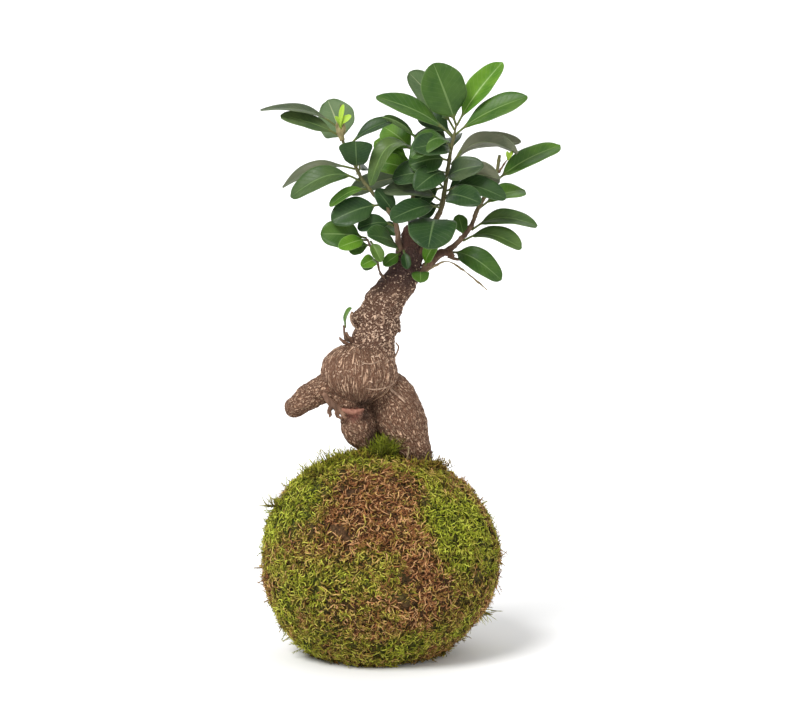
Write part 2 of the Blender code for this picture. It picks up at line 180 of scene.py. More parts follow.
class Nodes:
    """Short calls for building a material's nodes."""

    def __init__(self, name):
        self.mat = bpy.data.materials.new(name)
        self.mat.use_nodes = True
        self.tree = self.mat.node_tree
        self.shader = self.tree.nodes["Principled BSDF"]

    def new(self, kind, **settings):
        node = self.tree.nodes.new(kind)
        for key, value in settings.items():
            setattr(node, key, value)
        return node

    def put(self, socket, value):
        if isinstance(value, bpy.types.NodeSocket):
            self.tree.links.new(value, socket)
        elif isinstance(value, (tuple, list)) and len(value) == 3 and socket.type == "RGBA":
            socket.default_value = (*value, 1)
        else:
            socket.default_value = value

    def value(self, name):
        return self.new("ShaderNodeAttribute", attribute_name=name).outputs["Fac"]

    def place(self):
        return self.new("ShaderNodeTexCoord").outputs["Object"]

    def math(self, operation, a, b=0):
        node = self.new("ShaderNodeMath", operation=operation)
        for socket, value in zip(node.inputs, (a, b)):
            self.put(socket, value)
        return node.outputs[0]

    def times(self, a, b):
        return self.math("MULTIPLY", a, b)

    def valley(self, height):
        """How far a noise is from its middle value: 0 along thin wandering lines."""
        return self.math("ABSOLUTE", self.math("SUBTRACT", height, 0.5))

    def mix(self, amount, a, b):
        node = self.new("ShaderNodeMix", data_type="RGBA")
        self.put(node.inputs["Factor"], amount)
        self.put(node.inputs["A"], a)
        self.put(node.inputs["B"], b)
        return node.outputs["Result"]

    def ramp(self, amount, stops):
        node = self.new("ShaderNodeValToRGB")
        band = node.color_ramp.elements
        while len(band) < len(stops):
            band.new(0.5)
        for element, (at, colour) in zip(band, stops):
            element.position = at
            element.color = (*colour, 1) if len(colour) == 3 else colour
        self.put(node.inputs[0], amount)
        return node.outputs[0]

    def span(self, amount, low, high, to_low=0, to_high=1):
        node = self.new("ShaderNodeMapRange")
        for socket, value in zip(node.inputs, (amount, low, high, to_low, to_high)):
            self.put(socket, value)
        return node.outputs[0]

    def noise(self, scale, detail=3, rough=0.55, where=None, stretch=(1, 1, 1)):
        spot = where or self.place()
        if stretch != (1, 1, 1):
            shift = self.new("ShaderNodeMapping")
            self.put(shift.inputs["Vector"], spot)
            shift.inputs["Scale"].default_value = stretch
            spot = shift.outputs[0]
        node = self.new("ShaderNodeTexNoise")
        self.put(node.inputs["Vector"], spot)
        node.inputs["Scale"].default_value = scale
        node.inputs["Detail"].default_value = detail
        node.inputs["Roughness"].default_value = rough
        return node.outputs[0]

    def bent(self, where, scale, reach):
        """Coordinates pushed about by noise, so that what is drawn on them wanders."""
        node = self.new("ShaderNodeTexNoise")
        self.put(node.inputs["Vector"], where)
        node.inputs["Scale"].default_value = scale
        push = self.new("ShaderNodeVectorMath", operation="MULTIPLY_ADD")
        self.put(push.inputs[0], node.outputs["Color"])
        push.inputs[1].default_value = (reach, reach, reach)
        self.put(push.inputs[2], where)
        return push.outputs[0]

    def bump(self, height, distance, strength=0.6):
        node = self.new("ShaderNodeBump")
        node.inputs["Strength"].default_value = strength
        node.inputs["Distance"].default_value = distance
        self.put(node.inputs["Height"], height)
        self.put(self.shader.inputs["Normal"], node.outputs[0])

    def finish(self, colour, roughness, specular=0.4):
        self.put(self.shader.inputs["Base Color"], colour)
        self.put(self.shader.inputs["Roughness"], roughness)
        self.shader.inputs["Specular IOR Level"].default_value = specular
        return self.mat


def bark_material():
    """Wrinkled bark: dark furrows, purple-brown towards the top, red bare wood in the cleft."""
    n = Nodes("bark_skin")
    furrow = n.value("furrow")
    neck = n.value("neck")
    flow = n.new("ShaderNodeAttribute", attribute_name="flow").outputs["Vector"]
    crack = n.new("ShaderNodeTexVoronoi", feature="DISTANCE_TO_EDGE")
    bent = n.bent(flow, 0.35, 5)
    n.put(crack.inputs["Vector"], bent)
    crack.inputs["Scale"].default_value = 0.60
    cell = n.span(crack.outputs["Distance"], 0.02, 0.22, 0.12, 1)
    fine = n.valley(n.noise(0.62, 1, 0.5, bent))
    wire = n.valley(n.noise(1.3, 1, 0.5, bent))
    ridge = n.times(n.times(cell, n.span(fine, 0, 0.06, 0.12, 1)),
                   n.span(wire, 0, 0.05, 0.45, 1))
    grain = n.noise(1100, 4, 0.65)
    patch = n.noise(60, 3)
    body = n.ramp(ridge, [(0, (0.070, 0.028, 0.014)), (0.25, (0.185, 0.090, 0.050)),
                          (0.6, (0.385, 0.215, 0.130)), (1, (0.78, 0.515, 0.345))])
    body = n.mix(n.span(furrow, 0.6, 1, 0, 0.45), body, (0.085, 0.038, 0.022))
    body = n.mix(n.span(patch, 0.35, 0.7, 0, 0.30), body, (0.27, 0.135, 0.080))
    body = n.mix(n.span(grain, 0.52, 0.74, 0, 0.45), body, (0.70, 0.50, 0.37))
    body = n.mix(n.span(grain, 0.46, 0.32, 0, 0.35), body, (0.10, 0.046, 0.026))
    body = n.mix(n.times(neck, 0.52), body, (0.092, 0.044, 0.030))
    dark = n.mix(0.66, body, (0.055, 0.028, 0.032))
    body = n.mix(n.value("upper"), body, dark)
    body = n.mix(n.times(n.value("crust"), 0.6), body, (0.105, 0.046, 0.028))
    body = n.mix(n.value("shade"), body, (0.030, 0.014, 0.010))
    body = n.mix(n.value("cleft"), body, n.mix(grain, (0.30, 0.10, 0.065), (0.52, 0.24, 0.18)))
    body = n.mix(n.value("earth"), body, (0.07, 0.042, 0.024))
    n.bump(n.math("ADD", n.times(ridge, 1.6), grain), 0.0007, 0.9)
    return n.finish(body, n.span(ridge, 0, 1, 0.85, 0.58), 0.3)


def twig_material(name, base, tip, growing=False):
    """Streaked fibre between two colours, greener towards the tips where it still grows."""
    n = Nodes(name)
    streak = n.noise(700, 4, 0.6, stretch=(1, 1, 0.25))
    body = n.mix(n.span(streak, 0.3, 0.7), base, tip)
    body = n.mix(n.span(n.noise(180, 2), 0.45, 0.65, 0, 0.6), body,
                 tuple(c * 0.5 for c in base))
    if growing:
        fresh = n.mix(n.span(streak, 0.3, 0.7), (0.085, 0.085, 0.030), (0.17, 0.175, 0.065))
        body = n.mix(n.times(n.value("green"), 0.85), body, fresh)
    n.bump(streak, 0.0003, 0.6)
    return n.finish(body, n.span(streak, 0.3, 0.7, 0.8, 0.6), 0.3)


def leaf_material():
    """Upper and lower faces of a leaf with its midrib, side veins and a pale margin on the upper
    face that is a painted highlight.
    """
    n = Nodes("leaf_blade")
    across = n.value("across")
    along = n.value("along")
    young = n.value("young")
    under = n.value("under")
    ripe = n.value("ripe")
    wide = n.math("ABSOLUTE", across)
    blotch = n.span(n.noise(90, 3), 0.35, 0.65)
    fine = n.noise(1400, 3)
    dark = n.mix(blotch, (0.012, 0.036, 0.012), (0.026, 0.060, 0.018))
    bright = n.mix(blotch, (0.075, 0.195, 0.012), (0.140, 0.285, 0.020))
    upper = n.mix(young, dark, bright)
    upper = n.mix(ripe, upper, n.mix(blotch, (0.085, 0.10, 0.060), (0.14, 0.145, 0.085)))
    pale = n.mix(blotch, (0.070, 0.115, 0.058), (0.115, 0.160, 0.085))
    pale = n.mix(ripe, pale, n.mix(blotch, (0.15, 0.155, 0.105), (0.22, 0.205, 0.145)))
    lower = n.mix(n.times(young, 0.8), pale, (0.17, 0.31, 0.055))
    upper = n.mix(n.span(young, 1, 1.5), upper, (0.40, 0.60, 0.06))
    lower = n.mix(n.span(young, 1, 1.5), lower, (0.36, 0.54, 0.08))
    rib_upper = n.mix(young, (0.095, 0.155, 0.060), (0.30, 0.46, 0.12))
    # Side veins leave the midrib at a slant and bend towards the tip.
    slant = n.math("SUBTRACT", n.times(along, 13),
                   n.times(n.math("POWER", wide, 0.85), 2.6))
    wave = n.valley(n.math("FRACT", slant))
    vein = n.span(wave, 0.06, 0)
    thin = n.math("ADD", n.times(n.math("SUBTRACT", 1, along), 0.05), 0.02)
    rib = n.span(n.math("DIVIDE", wide, thin), 1.3, 0.7)
    # Pale rim along the upper face's margin: a painted highlight where light catches the edge.
    edge = n.span(wide, 0.95, 0.99)
    upper = n.mix(n.times(vein, 0.22), upper, rib_upper)
    upper = n.mix(n.times(edge, 0.7), upper, rib_upper)
    upper = n.mix(n.times(rib, 0.85), upper, rib_upper)
    lower = n.mix(n.times(vein, 0.3), lower, (0.22, 0.27, 0.15))
    lower = n.mix(rib, lower, (0.28, 0.33, 0.17))
    colour = n.mix(under, upper, lower)
    colour = n.mix(n.value("stalk"), colour, (0.13, 0.16, 0.045))
    shine = n.mix(under, n.span(fine, 0.3, 0.7, 0.34, 0.46), n.span(fine, 0.3, 0.7, 0.5, 0.66))
    relief = n.math("ADD", n.times(vein, -0.6), n.times(fine, 0.5))
    n.bump(relief, 0.00025, 0.5)
    return n.finish(colour, shine, 0.22)


def moss_material():
    """Strands from dead brown through olive to bright green, with painted shade darkening them near
    their feet.
    """
    n = Nodes("moss_strands")
    live = n.value("live")
    tone = n.value("tone")
    height = n.value("height")
    dead = n.ramp(tone, [(0, (0.058, 0.018, 0.006)), (0.45, (0.25, 0.088, 0.028)),
                         (0.8, (0.52, 0.215, 0.080)), (1, (0.80, 0.44, 0.20))])
    olive = n.ramp(tone, [(0, (0.045, 0.030, 0.004)), (0.45, (0.185, 0.142, 0.012)),
                          (0.8, (0.40, 0.325, 0.030)), (1, (0.66, 0.56, 0.10))])
    green = n.ramp(tone, [(0, (0.055, 0.070, 0.008)), (0.45, (0.235, 0.275, 0.012)),
                          (0.8, (0.46, 0.52, 0.024)), (1, (0.72, 0.78, 0.09))])
    colour = n.mix(n.span(live, 0.08, 0.5), dead, olive)
    colour = n.mix(n.span(live, 0.5, 0.95), colour, green)
    # Painted shade: each strand darkens towards its foot, where the strands crowd together.
    colour = n.mix(n.span(height, 0.5, 0, 0, 0.85), colour, (0.030, 0.016, 0.006))
    grain = n.noise(2500, 2)
    n.bump(grain, 0.0002, 0.4)
    return n.finish(colour, n.span(grain, 0.3, 0.7, 0.8, 0.62), 0.3)


def mat_material():
    """The felted mass under the strands."""
    n = Nodes("moss_mat")
    live = n.value("live")
    fuzz = n.noise(800, 5, 0.7)
    clump = n.noise(140, 3)
    dead = n.mix(n.span(fuzz, 0.35, 0.65), (0.035, 0.018, 0.009), (0.15, 0.08, 0.038))
    green = n.mix(n.span(fuzz, 0.35, 0.65), (0.030, 0.034, 0.008), (0.12, 0.14, 0.025))
    colour = n.mix(n.span(live, 0.1, 0.8), dead, green)
    colour = n.mix(n.span(clump, 0.55, 0.4, 0, 0.5), colour, (0.022, 0.014, 0.007))
    n.bump(fuzz, 0.0012, 0.9)
    return n.finish(colour, n.span(fuzz, 0.3, 0.7, 0.95, 0.8), 0.15)


def soil_material():
    n = Nodes("soil_crumb")
    crumb = n.noise(500, 5, 0.7)
    colour = n.mix(n.span(crumb, 0.35, 0.65), (0.015, 0.009, 0.006), (0.07, 0.045, 0.028))
    n.bump(crumb, 0.001, 0.8)
    return n.finish(colour, n.span(crumb, 0.3, 0.7, 0.95, 0.8), 0.2)


# ---- the rootstock

WOOD = ["rootstock", "crown_shoot", "right_branch", "left_branch", "middle_shoot", "low_shoot",
        "dry_stalk", "side_sprout"]
# Limbs of the rootstock in mm: x, y, z, radius along each run.
LIMBS = {
    "neck": [(-6, -1, 158, 15.5), (-4, 0, 169, 13), (-1.6, 0, 179, 11.2), (0.5, 0, 188, 11.2),
             (4.5, 0, 197, 10.4), (12, 0, 206, 9.2), (16, 0, 217, 8.2), (18.5, 0, 227, 6.7),
             (18.5, 0, 233, 5.4)],
    "thick_leg": [(0, 4, 151, 9.5), (5, 3, 147, 11), (9.5, 2, 139, 12.8), (12.5, 1, 130, 13.8),
                  (16.5, 0, 121, 11.4), (21, 0, 111, 8.8), (22.5, 1, 97, 6.5), (23, 1, 84, 3.2)],
    "small_leg": [(-12, 1, 147, 9), (-12, 0, 138, 7.2), (-10.8, -4, 127, 9.6),
                  (-6, -2, 116, 5.5), (-4, -1, 107, 3.8), (-5, 0, 92, 2.4)],
    "dark_strand": [(0, 4, 146, 7), (-1, 4, 132, 6), (-3, 3, 118, 4.6), (-2, 3, 105, 3.4),
                    (1, 4, 94, 2.2)],
    "nose": [(-19, -4, 151, 9), (-30, -6, 148, 7.6), (-38, -7, 143.5, 7), (-45.5, -8, 138, 5.6)],
    "left_knob": [(-5, 0, 185, 8), (-9.5, -1, 186, 5)],
    "right_knob": [(4, 0, 183, 8), (7, 0, 183, 5.6)],
    "skirt": [(-24, -5, 147, 7.5), (-19.5, -6.5, 142, 6.2), (-14, -7, 140.5, 5)],
}
BULB_AT = np.array([-10.5, -3, 156.5])
BULB_RADII = np.array([21.2, 18.5, 17])


def smoothstep(x, low, high):
    t = np.clip((x - low) / (high - low), 0, 1)
    return t * t * (3 - 2 * t)


def blob(points, centre, radius):
    """1 at a centre falling to 0 at a radius, both in mm."""
    away = np.linalg.norm(points - np.array(centre), axis=1) / radius
    return 1 - smoothstep(away, 0, 1)


def limb_distance(p, rows):
    """How far points in mm are outside a limb, and the way straight out of it."""
    run = smooth_run(rows, 4)
    best = np.full(len(p), 1e9)
    way = np.zeros_like(p)
    for a, b in zip(run[:-1], run[1:]):
        line = b[:3] - a[:3]
        t = np.clip((p - a[:3]) @ line / (line @ line), 0, 1)
        off = p - a[:3] - t[:, None] * line
        length = np.linalg.norm(off, axis=1)
        d = length - (a[3] + t * (b[3] - a[3]))
        closer = d < best
        best[closer] = d[closer]
        way[closer] = (off / np.maximum(length, 1e-6)[:, None])[closer]
    return best, way


def bulb_distance(p):
    q = (p - BULB_AT) / BULB_RADII
    k0 = np.linalg.norm(q, axis=1)
    steep = q / BULB_RADII
    k1 = np.linalg.norm(steep, axis=1)
    return k0 * (k0 - 1) / k1, steep / k1[:, None]


def limb_weights(p, soft):
    """Distance to every limb, the ways out, and how much each limb owns each point."""
    parts = [limb_distance(p, rows) for rows in LIMBS.values()] + [bulb_distance(p)]
    d = np.array([x[0] for x in parts])
    w = np.exp(-(d - d.min(0)) / soft)
    return d, np.array([x[1] for x in parts]), w / w.sum(0)


def onto_limbs(co, soft, rounds):
    """Moves surface points onto the limbs, so that the clefts between them open up."""
    p = co / MM
    for _ in range(rounds):
        d, ways, w = limb_weights(p, soft)
        f = d.min(0) - soft * np.log(np.exp(-(d - d.min(0)) / soft).sum(0))
        way = (ways * w[:, :, None]).sum(0)
        way /= np.maximum(np.linalg.norm(way, axis=1), 0.3)[:, None]
        p = p - way * np.clip(f, -2.5, 2.5)[:, None]
    return p * MM


def middle_at(limb, z):
    """Where a rising limb's middle line is in x at heights in mm."""
    rows = LIMBS[limb][:-1]
    return np.interp(z, [row[2] for row in rows], [row[0] for row in rows])


def flow_of(p):
    """Coordinates in mm that run slowly along the grain of the bark and fast across it."""
    _, _, w = limb_weights(p, 0.7)
    names = list(LIMBS) + ["bulb"]
    x, y, z = p.T
    lean = np.interp(z, [84, 111, 121, 130, 139, 151], [23, 21, 16.5, 12.5, 9.5, 2])
    leg = np.stack([x - lean, y, z * 0.42], 1)
    out = p[:, :2] - BULB_AT[:2]
    out = out / np.maximum(np.linalg.norm(out, axis=1), 1.5)[:, None] * 19
    bulb = np.stack([out[:, 0], out[:, 1], z * 0.2 + 40], 1)
    tilt = np.array([-26.5, -4, -13])
    tilt /= np.linalg.norm(tilt)
    nose = p - 0.45 * (p @ tilt)[:, None] * tilt + 90
    rise = middle_at("neck", z)
    neck = np.stack([x - rise, y, z * 0.7 - 60], 1)
    by_name = {"thick_leg": leg, "small_leg": leg + 20, "dark_strand": leg + 55, "bulb": bulb,
               "nose": nose}
    owner = w.argmax(0)
    flow = np.empty_like(p)
    for k, name in enumerate(names):
        own = owner == k
        flow[own] = by_name.get(name, neck)[own]
    return flow, {name: w[k] for k, name in enumerate(names)}


def make_rootstock():
    rough = remeshed("rootstock_rough", welded("rootstock"), 1 * MM, 1)
    co = onto_limbs(points_of(rough), 0.5, 5)
    put_points(rough, co)
    bm = bmesh.new()
    bm.from_mesh(rough)
    mesh = remeshed("rootstock_skin", bm, BARK_VOXEL, 1)
    co = onto_limbs(points_of(mesh), 0.45, 2)
    put_points(mesh, co)
    normal = normals_of(mesh)
    p = co / MM
    z = p[:, 2]
    flow, owned = flow_of(p)
    neck = np.clip(owned["neck"] + owned["left_knob"] + owned["right_knob"], 0, 1)
    neck = np.maximum(neck * smoothstep(z, 164, 174), smoothstep(z, 172, 180))
    lumps = fractal(co, 11, 3, seed=20)
    grain = noise_at(flow / 1.5 + 7)
    coarse = noise_at(flow / 3.4 + 31, 2)
    furrow = np.clip(1 - np.abs(grain) * 2.6, -0.3, 1)
    rings = np.sin(z / 1.75 + 2.2 * fractal(co, 12, 2, seed=60)) * smoothstep(z, 174, 184)
    rings *= 1 - smoothstep(z, 200, 212)
    lift = 0.55 * lumps - 0.30 * furrow + 0.34 * coarse + 0.32 * rings
    lift += neck * 0.45 * fractal(co, 2.6, 2, seed=33)
    lift -= 0.8 * np.exp(-((z - 173.5) / 1.6) ** 2) * smoothstep(-p[:, 0], 2, 12)
    # Deep shadowed hollow under the bulb, with bare red wood beside it.
    lift -= 2.2 * blob(p, (-7, -13, 136.5), 7) + 1.2 * blob(p, (0, -12, 141), 6)
    cleft = np.clip(blob(p, (-14, -12, 136.5), 8) * 1.6, 0, 1) * smoothstep(137.8 - z, -1.2, 0.8)
    co = co + normal * lift[:, None] * MM
    put_points(mesh, co)
    grooves = mesh.attributes.new("flow", "FLOAT_VECTOR", "POINT")
    grooves.data.foreach_set("vector", flow.astype(np.float32).ravel())
    paint(mesh, "furrow", np.clip((furrow + 0.3) / 1.3, 0, 1))
    paint(mesh, "neck", neck)
    paint(mesh, "upper", smoothstep(z + 4 * lumps, 197, 212))
    paint(mesh, "crust", smoothstep(z + 3 * lumps, 222, 228))
    paint(mesh, "cleft", cleft)
    shade = np.clip(blob(p, (-6, -12, 137), 11) + 0.8 * blob(p, (-1, -10, 122), 9), 0, 1)
    paint(mesh, "shade", shade * (1 - 0.7 * cleft))
    paint(mesh, "earth", 1 - smoothstep(z + 3 * lumps, 106, 116))
    mesh.materials.clear()
    mesh.materials.append(bark)
    ob = link("rootstock_skin", mesh)
    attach(ob, "root")
    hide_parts("rootstock")
    return BVHTree.FromPolygons(co.tolist(), [tuple(p.vertices) for p in mesh.polygons])


def make_flakes(bark_tree):
    """Pale corky flecks: small raised bars and blisters, thickest on the neck."""
    verts, quads, tris = [], [], []
    made = 0
    for a, b, c, d, e in rng.random((FLECKS * 3, 5)):
        if made >= FLECKS:
            break
        z = 150 + 70 * a ** 0.9
        thick = np.interp(z, [150, 163, 172, 194, 201, 220], [0.16, 0.45, 1, 1, 0.26, 0.07])
        if d > thick:
            continue
        angle = math.tau * b
        middle = np.interp(z, [158, 179, 197, 206, 217], [-6, -1.6, 4.5, 12, 16])
        start = Vector((middle * MM + 0.05 * math.cos(angle), 0.05 * math.sin(angle), z * MM))
        hit, out, _, _ = bark_tree.ray_cast(start, -Vector((math.cos(angle), math.sin(angle), 0)))
        if hit is None:
            continue
        made += 1
        side = out.orthogonal().normalized()
        flat = Vector((0, 0, 1)).cross(out)
        side = flat.normalized() if flat.length > 0.2 else side
        turn = (c - 0.5) * 2.6
        along = side * math.cos(turn) + out.cross(side) * math.sin(turn)
        over = out.cross(along)
        half = (0.45 + 0.85 * e * e * e) * MM
        slim = half * (0.36 + 0.35 * abs(c - 0.5))
        base = len(verts)
        verts.append(hit + out * 0.30 * MM)
        for share, up in ((0.62, 0.24), (1, -0.12)):
            for k in range(FLECK_SIDES):
                t = math.tau * k / FLECK_SIDES
                verts.append(hit + along * (half * share * math.cos(t))
                             + over * (slim * share * math.sin(t)) + out * up * MM)
        verts.append(hit - out * 0.3 * MM)
        inner, outer = base + 1, base + 1 + FLECK_SIDES
        for k in range(FLECK_SIDES):
            j = (k + 1) % FLECK_SIDES
            tris.append((base, inner + k, inner + j))
            quads.append((inner + k, outer + k, outer + j, inner + j))
            tris.append((outer + FLECK_SIDES, outer + j, outer + k))
    mesh = fast_mesh("bark_flecks", np.array(verts), np.array(quads), np.array(tris))
    mesh.materials.append(fleck_skin)
    ob = link("bark_flecks", mesh)
    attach(ob, "root")


def tube_arrays(points, radii, sides=8):
    """Points and faces of a closed round tube along a run."""
    run = [Vector(p) for p in points]
    verts = []
    quads = []
    turn = None
    for i, p in enumerate(run):
        ahead = run[min(i + 1, len(run) - 1)] - run[max(i - 1, 0)]
        ahead.normalize()
        if turn is None:
            turn = ahead.orthogonal().normalized()
        turn = (turn - turn.dot(ahead) * ahead).normalized()
        other = ahead.cross(turn)
        for k in range(sides):
            a = math.tau * k / sides
            verts.append(p + (turn * math.cos(a) + other * math.sin(a)) * radii[i])
    for i in range(len(run) - 1):
        for k in range(sides):
            j = (k + 1) % sides
            quads.append((i * sides + k, i * sides + j, (i + 1) * sides + j, (i + 1) * sides + k))
    caps = [tuple(range(sides))[::-1], tuple(range((len(run) - 1) * sides, len(run) * sides))]
    return verts, quads, caps


def tube(name, rows, material, sides=8, steps=5):
    """A round tapering piece through rows of x, y, z, radius in mm."""
    run = smooth_run(rows, steps) * MM
    verts, quads, caps = tube_arrays(run[:, :3], np.maximum(run[:, 3], 0.00012), sides)
    mesh = bpy.data.meshes.new(name)
    mesh.from_pydata(verts, [], quads + caps)
    mesh.polygons.foreach_set("use_smooth", [True] * len(mesh.polygons))
    mesh.materials.append(material)
    return link(name, mesh)


def on_bark(tree, x, z, sink=0):
    """The point of the bark seen from the front at x, z in mm, and how far in front of it."""
    hit = tree.ray_cast(Vector((x * MM, -0.2, z * MM)), Vector((0, 1, 0)))[0]
    return (x, hit.y / MM + sink, z) if hit else (x, 0, z)


# Thin roots lying on the bark, seen from the front: x, z, radius in mm.
ROOT_THREADS = {
    "root_ridge": [(-6, 149.6, 0.3), (-2, 148.9, 0.5), (3, 149.4, 0.55), (7, 150.6, 0.45),
                   (9.5, 152.5, 0.3)],
    "root_arc": [(5.5, 150, 0.35), (7, 148, 0.7), (9.5, 145.8, 0.8), (12.5, 143.2, 0.6),
                 (15, 140.8, 0.3)],
    "root_crescent": [(-9, 163.8, 0.25), (-5.5, 163, 0.42), (-2, 163.2, 0.42), (1, 164.4, 0.25)],
    "root_hook": [(8.2, 164, 0.4), (10.2, 167, 0.5), (11.2, 170.5, 0.5), (9.6, 173, 0.35)],
    "knob_loop": [(-14.2, 190, 0.6), (-15, 187, 0.8), (-13.8, 183, 0.7), (-11, 180.5, 0.4)],
    "neck_scar": [(-2, 186.5, 0.4), (0.5, 188.2, 0.6), (3, 187, 0.6), (3, 184.4, 0.5),
                  (0.8, 183.4, 0.5), (-1.4, 184.6, 0.35)],
    "neck_scar_low": [(2, 171.5, 0.3), (4, 173.4, 0.5), (6.4, 172.6, 0.5), (6.6, 170, 0.3)],
}
# Broken roots and twigs: x, y, z, radius in mm.
STUBS = {
    "root_band": [(-30.5, -11.6, 149.5, 1), (-28.6, -12.4, 144.6, 1.7), (-25.2, -11.8, 140.4, 2.1),
                  (-21, -11.6, 137, 1.9), (-17.2, -12.4, 134.4, 0.9)],
    "root_bit_1": [(-25, -11, 139.6, 1.7), (-26.6, -12, 136.6, 1.4), (-26, -12, 134.2, 0.8),
                   (-26.8, -12, 133, 0.4)],
    "root_bit_2": [(-22, -11.5, 137.4, 1.7), (-22.4, -12.5, 134.4, 1.3), (-20.6, -12.5, 132.8, 0.8),
                   (-19.4, -12.5, 132.4, 0.4)],
    "root_bit_3": [(-19.5, -12, 136, 1.5), (-18.6, -13, 133.6, 1.1), (-16.6, -13.6, 132.6, 0.5)],
    "bare_wood": [(-20.5, -11.5, 137.4, 0.5), (-17, -13.6, 136.7, 1.4), (-13, -14.4, 136.2, 1.6),
                  (-9.5, -14.2, 136.9, 1), (-7.5, -13.4, 137.6, 0.4)],
    "sprout_scale_1": [(-13.6, -6, 173.5, 1.2), (-16.2, -8, 176.8, 0.9), (-17.4, -8, 179.4, 0.4)],
    "sprout_scale_2": [(-15, -5, 171.5, 1.1), (-19.2, -7, 174.2, 0.9), (-21.2, -8, 176.6, 0.4)],
    "old_twig": [(21, -3.5, 220, 1.2), (24.5, -6, 225.5, 1), (29, -7, 231.8, 0.8)],
    "branch_knot": [(30, -1.5, 219.5, 1.6), (34, -2.6, 222.4, 2), (38.5, -2.6, 222.4, 1.9),
                    (41.6, -3, 220.2, 1.1)],
    "twig_stub": [(38.5, -2.5, 220.6, 1.2), (42.5, -3.5, 219, 0.9), (47.2, -4, 218.2, 0.75)],
    "bud_twig": [(66, 2, 266, 0.7), (68.8, 1, 270.5, 0.55), (71.2, 0.5, 274, 0.45)],
    "bud_sheath": [(-19.4, -2.4, 283.5, 1.5), (-20.6, -3, 288, 2), (-21.4, -3.4, 291.6, 1.5),
                   (-22.2, -3.6, 294.2, 0.5)],
    "bud_sheath_2": [(-19.6, -3, 286, 1.3), (-18.6, -4, 290, 1.2), (-18.8, -4.4, 293.4, 0.5)],
    "straw": [(14.6, -9.5, 106, 0.4), (16.4, -11, 112, 0.4), (16.6, -11.5, 117, 0.3)],
}


def make_rootlets(bark_tree):
    """Thin roots that hug the bark, broken roots under the bulb, twig stubs and bud scales."""
    for name, rows in ROOT_THREADS.items():
        path = [(*on_bark(bark_tree, x, z, -0.35 * r), r) for x, z, r in rows]
        ob = tube(name, path, pale_root)
        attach(ob, "root")
    paints = {"bare_wood": red_root, "old_twig": old_wood, "branch_knot": old_wood,
              "straw": dry, "bud_sheath": sheath, "bud_sheath_2": sheath, "bud_twig": twig,
              "twig_stub": twig}
    for name, rows in STUBS.items():
        ob = tube(name, rows, paints.get(name, root_brown), 9)
        co = points_of(ob.data)
        co += normals_of(ob.data) * (0.45 * fractal(co, 1.6, 3, seed=5))[:, None] * MM
        put_points(ob.data, co)
        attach(ob, "root")


# How much thinner than its solid each stem is shown, in mm.
SLIM = {"crown_shoot": 0.25, "left_branch": 0.3, "low_shoot": 0.5, "middle_shoot": 0.2,
        "right_branch": 0.1, "side_sprout": 0.1, "dry_stalk": 0.15}


def make_stem(name, material):
    """A stem's own mesh, rounded, with swellings and fine wrinkles."""
    bm = welded(name)
    rough = bpy.data.meshes.new(name + "_rough")
    bm.to_mesh(rough)
    bm.free()
    ob = link(name + "_rough", rough)
    finer = ob.modifiers.new("finer", "SUBSURF")
    finer.levels = 2
    finer.render_levels = 2
    mesh = evaluated(ob)
    bpy.data.objects.remove(ob, do_unlink=True)
    co = points_of(mesh)
    normal = normals_of(mesh)
    lift = 0.30 * fractal(co, 5, 3, seed=2) + 0.14 * fractal(co, 1.2, 2, (1, 1, 0.4), 9)
    ringed = np.maximum(0, np.sin(co @ np.array([90, 40, 1050]) + 2 * fractal(co, 12, 1))) ** 6
    co = co + normal * (lift * 0.8 + 0.30 * ringed - SLIM[name])[:, None] * MM
    put_points(mesh, co)
    mesh.polygons.foreach_set("use_smooth", [True] * len(mesh.polygons))
    mesh.materials.clear()
    mesh.materials.append(material)
    paint(mesh, "green", smoothstep(co[:, 2] / MM + 4 * fractal(co, 6, 1), 232, 262))
    piece = link(name + "_bark", mesh)
    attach(piece, "root")
    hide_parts(name)


# ---- leaves

YOUNG = {
    "leaf_01": 0.28, "leaf_02": 0.25, "leaf_03": 0.95, "leaf_04": 0.42, "leaf_05": 0.35,
    "leaf_06": 0.30, "leaf_07": 0.15, "leaf_13": 0.6, "leaf_14": 0.5, "leaf_20": 0.2,
    "leaf_25": 0.6, "leaf_27": 0.8, "leaf_29": 0.8, "leaf_36": 0.35, "leaf_37": 0.95,
    "leaf_38": 0.15, "leaf_39": 0.9, "leaf_40": 0.4, "leaf_41": 0.9, "leaf_45": 0.5,
    "leaf_15": 0.3, "leaf_16": 0.35, "leaf_17": 0.25, "leaf_19": 0.3, "leaf_28": 0.4,
    "leaf_24": 0.2,
}
# Leaves that have begun to turn grey-brown, mostly seen from below.
RIPE = {
    "leaf_08": 0.75, "leaf_09": 0.85, "leaf_10": 0.8, "leaf_15": 0.2, "leaf_16": 0.2,
    "leaf_18": 0.5, "leaf_19": 0.35, "leaf_23": 0.8, "leaf_24": 0.15, "leaf_26": 0.25,
    "leaf_28": 0.3, "leaf_31": 0.45,
}
ROWS = 36
COLUMNS = 15


def leaf_rings(name, wood):
    """The corners of each six-cornered ring that a leaf's solid is lofted through, foot first."""
    bm = welded(name)
    bm.verts.ensure_lookup_table()
    co = np.array([v.co for v in bm.verts])
    joined = [{e.other_vert(v).index for e in v.link_edges} for v in bm.verts]
    starts = [{v.index for f in e.link_faces for v in f.verts} for e in bm.edges]
    bm.free()
    for start in starts:
        # One end of the solid is a flat four-cornered face; every other ring has six corners.
        ring = start
        seen = set(ring)
        rings = []
        while ring:
            rings.append(ring)
            ring = {k for i in ring for k in joined[i]} - seen
            seen |= ring
        if all(len(r) == 6 for r in rings[1:]):
            first, last = (Vector(co[list(rings[k])].mean(0)) for k in (0, -1))
            if wood.find_nearest(first)[3] > wood.find_nearest(last)[3]:
                rings.reverse()
            return co, joined, rings
    raise ValueError(f"{name}: its rings can't be read")


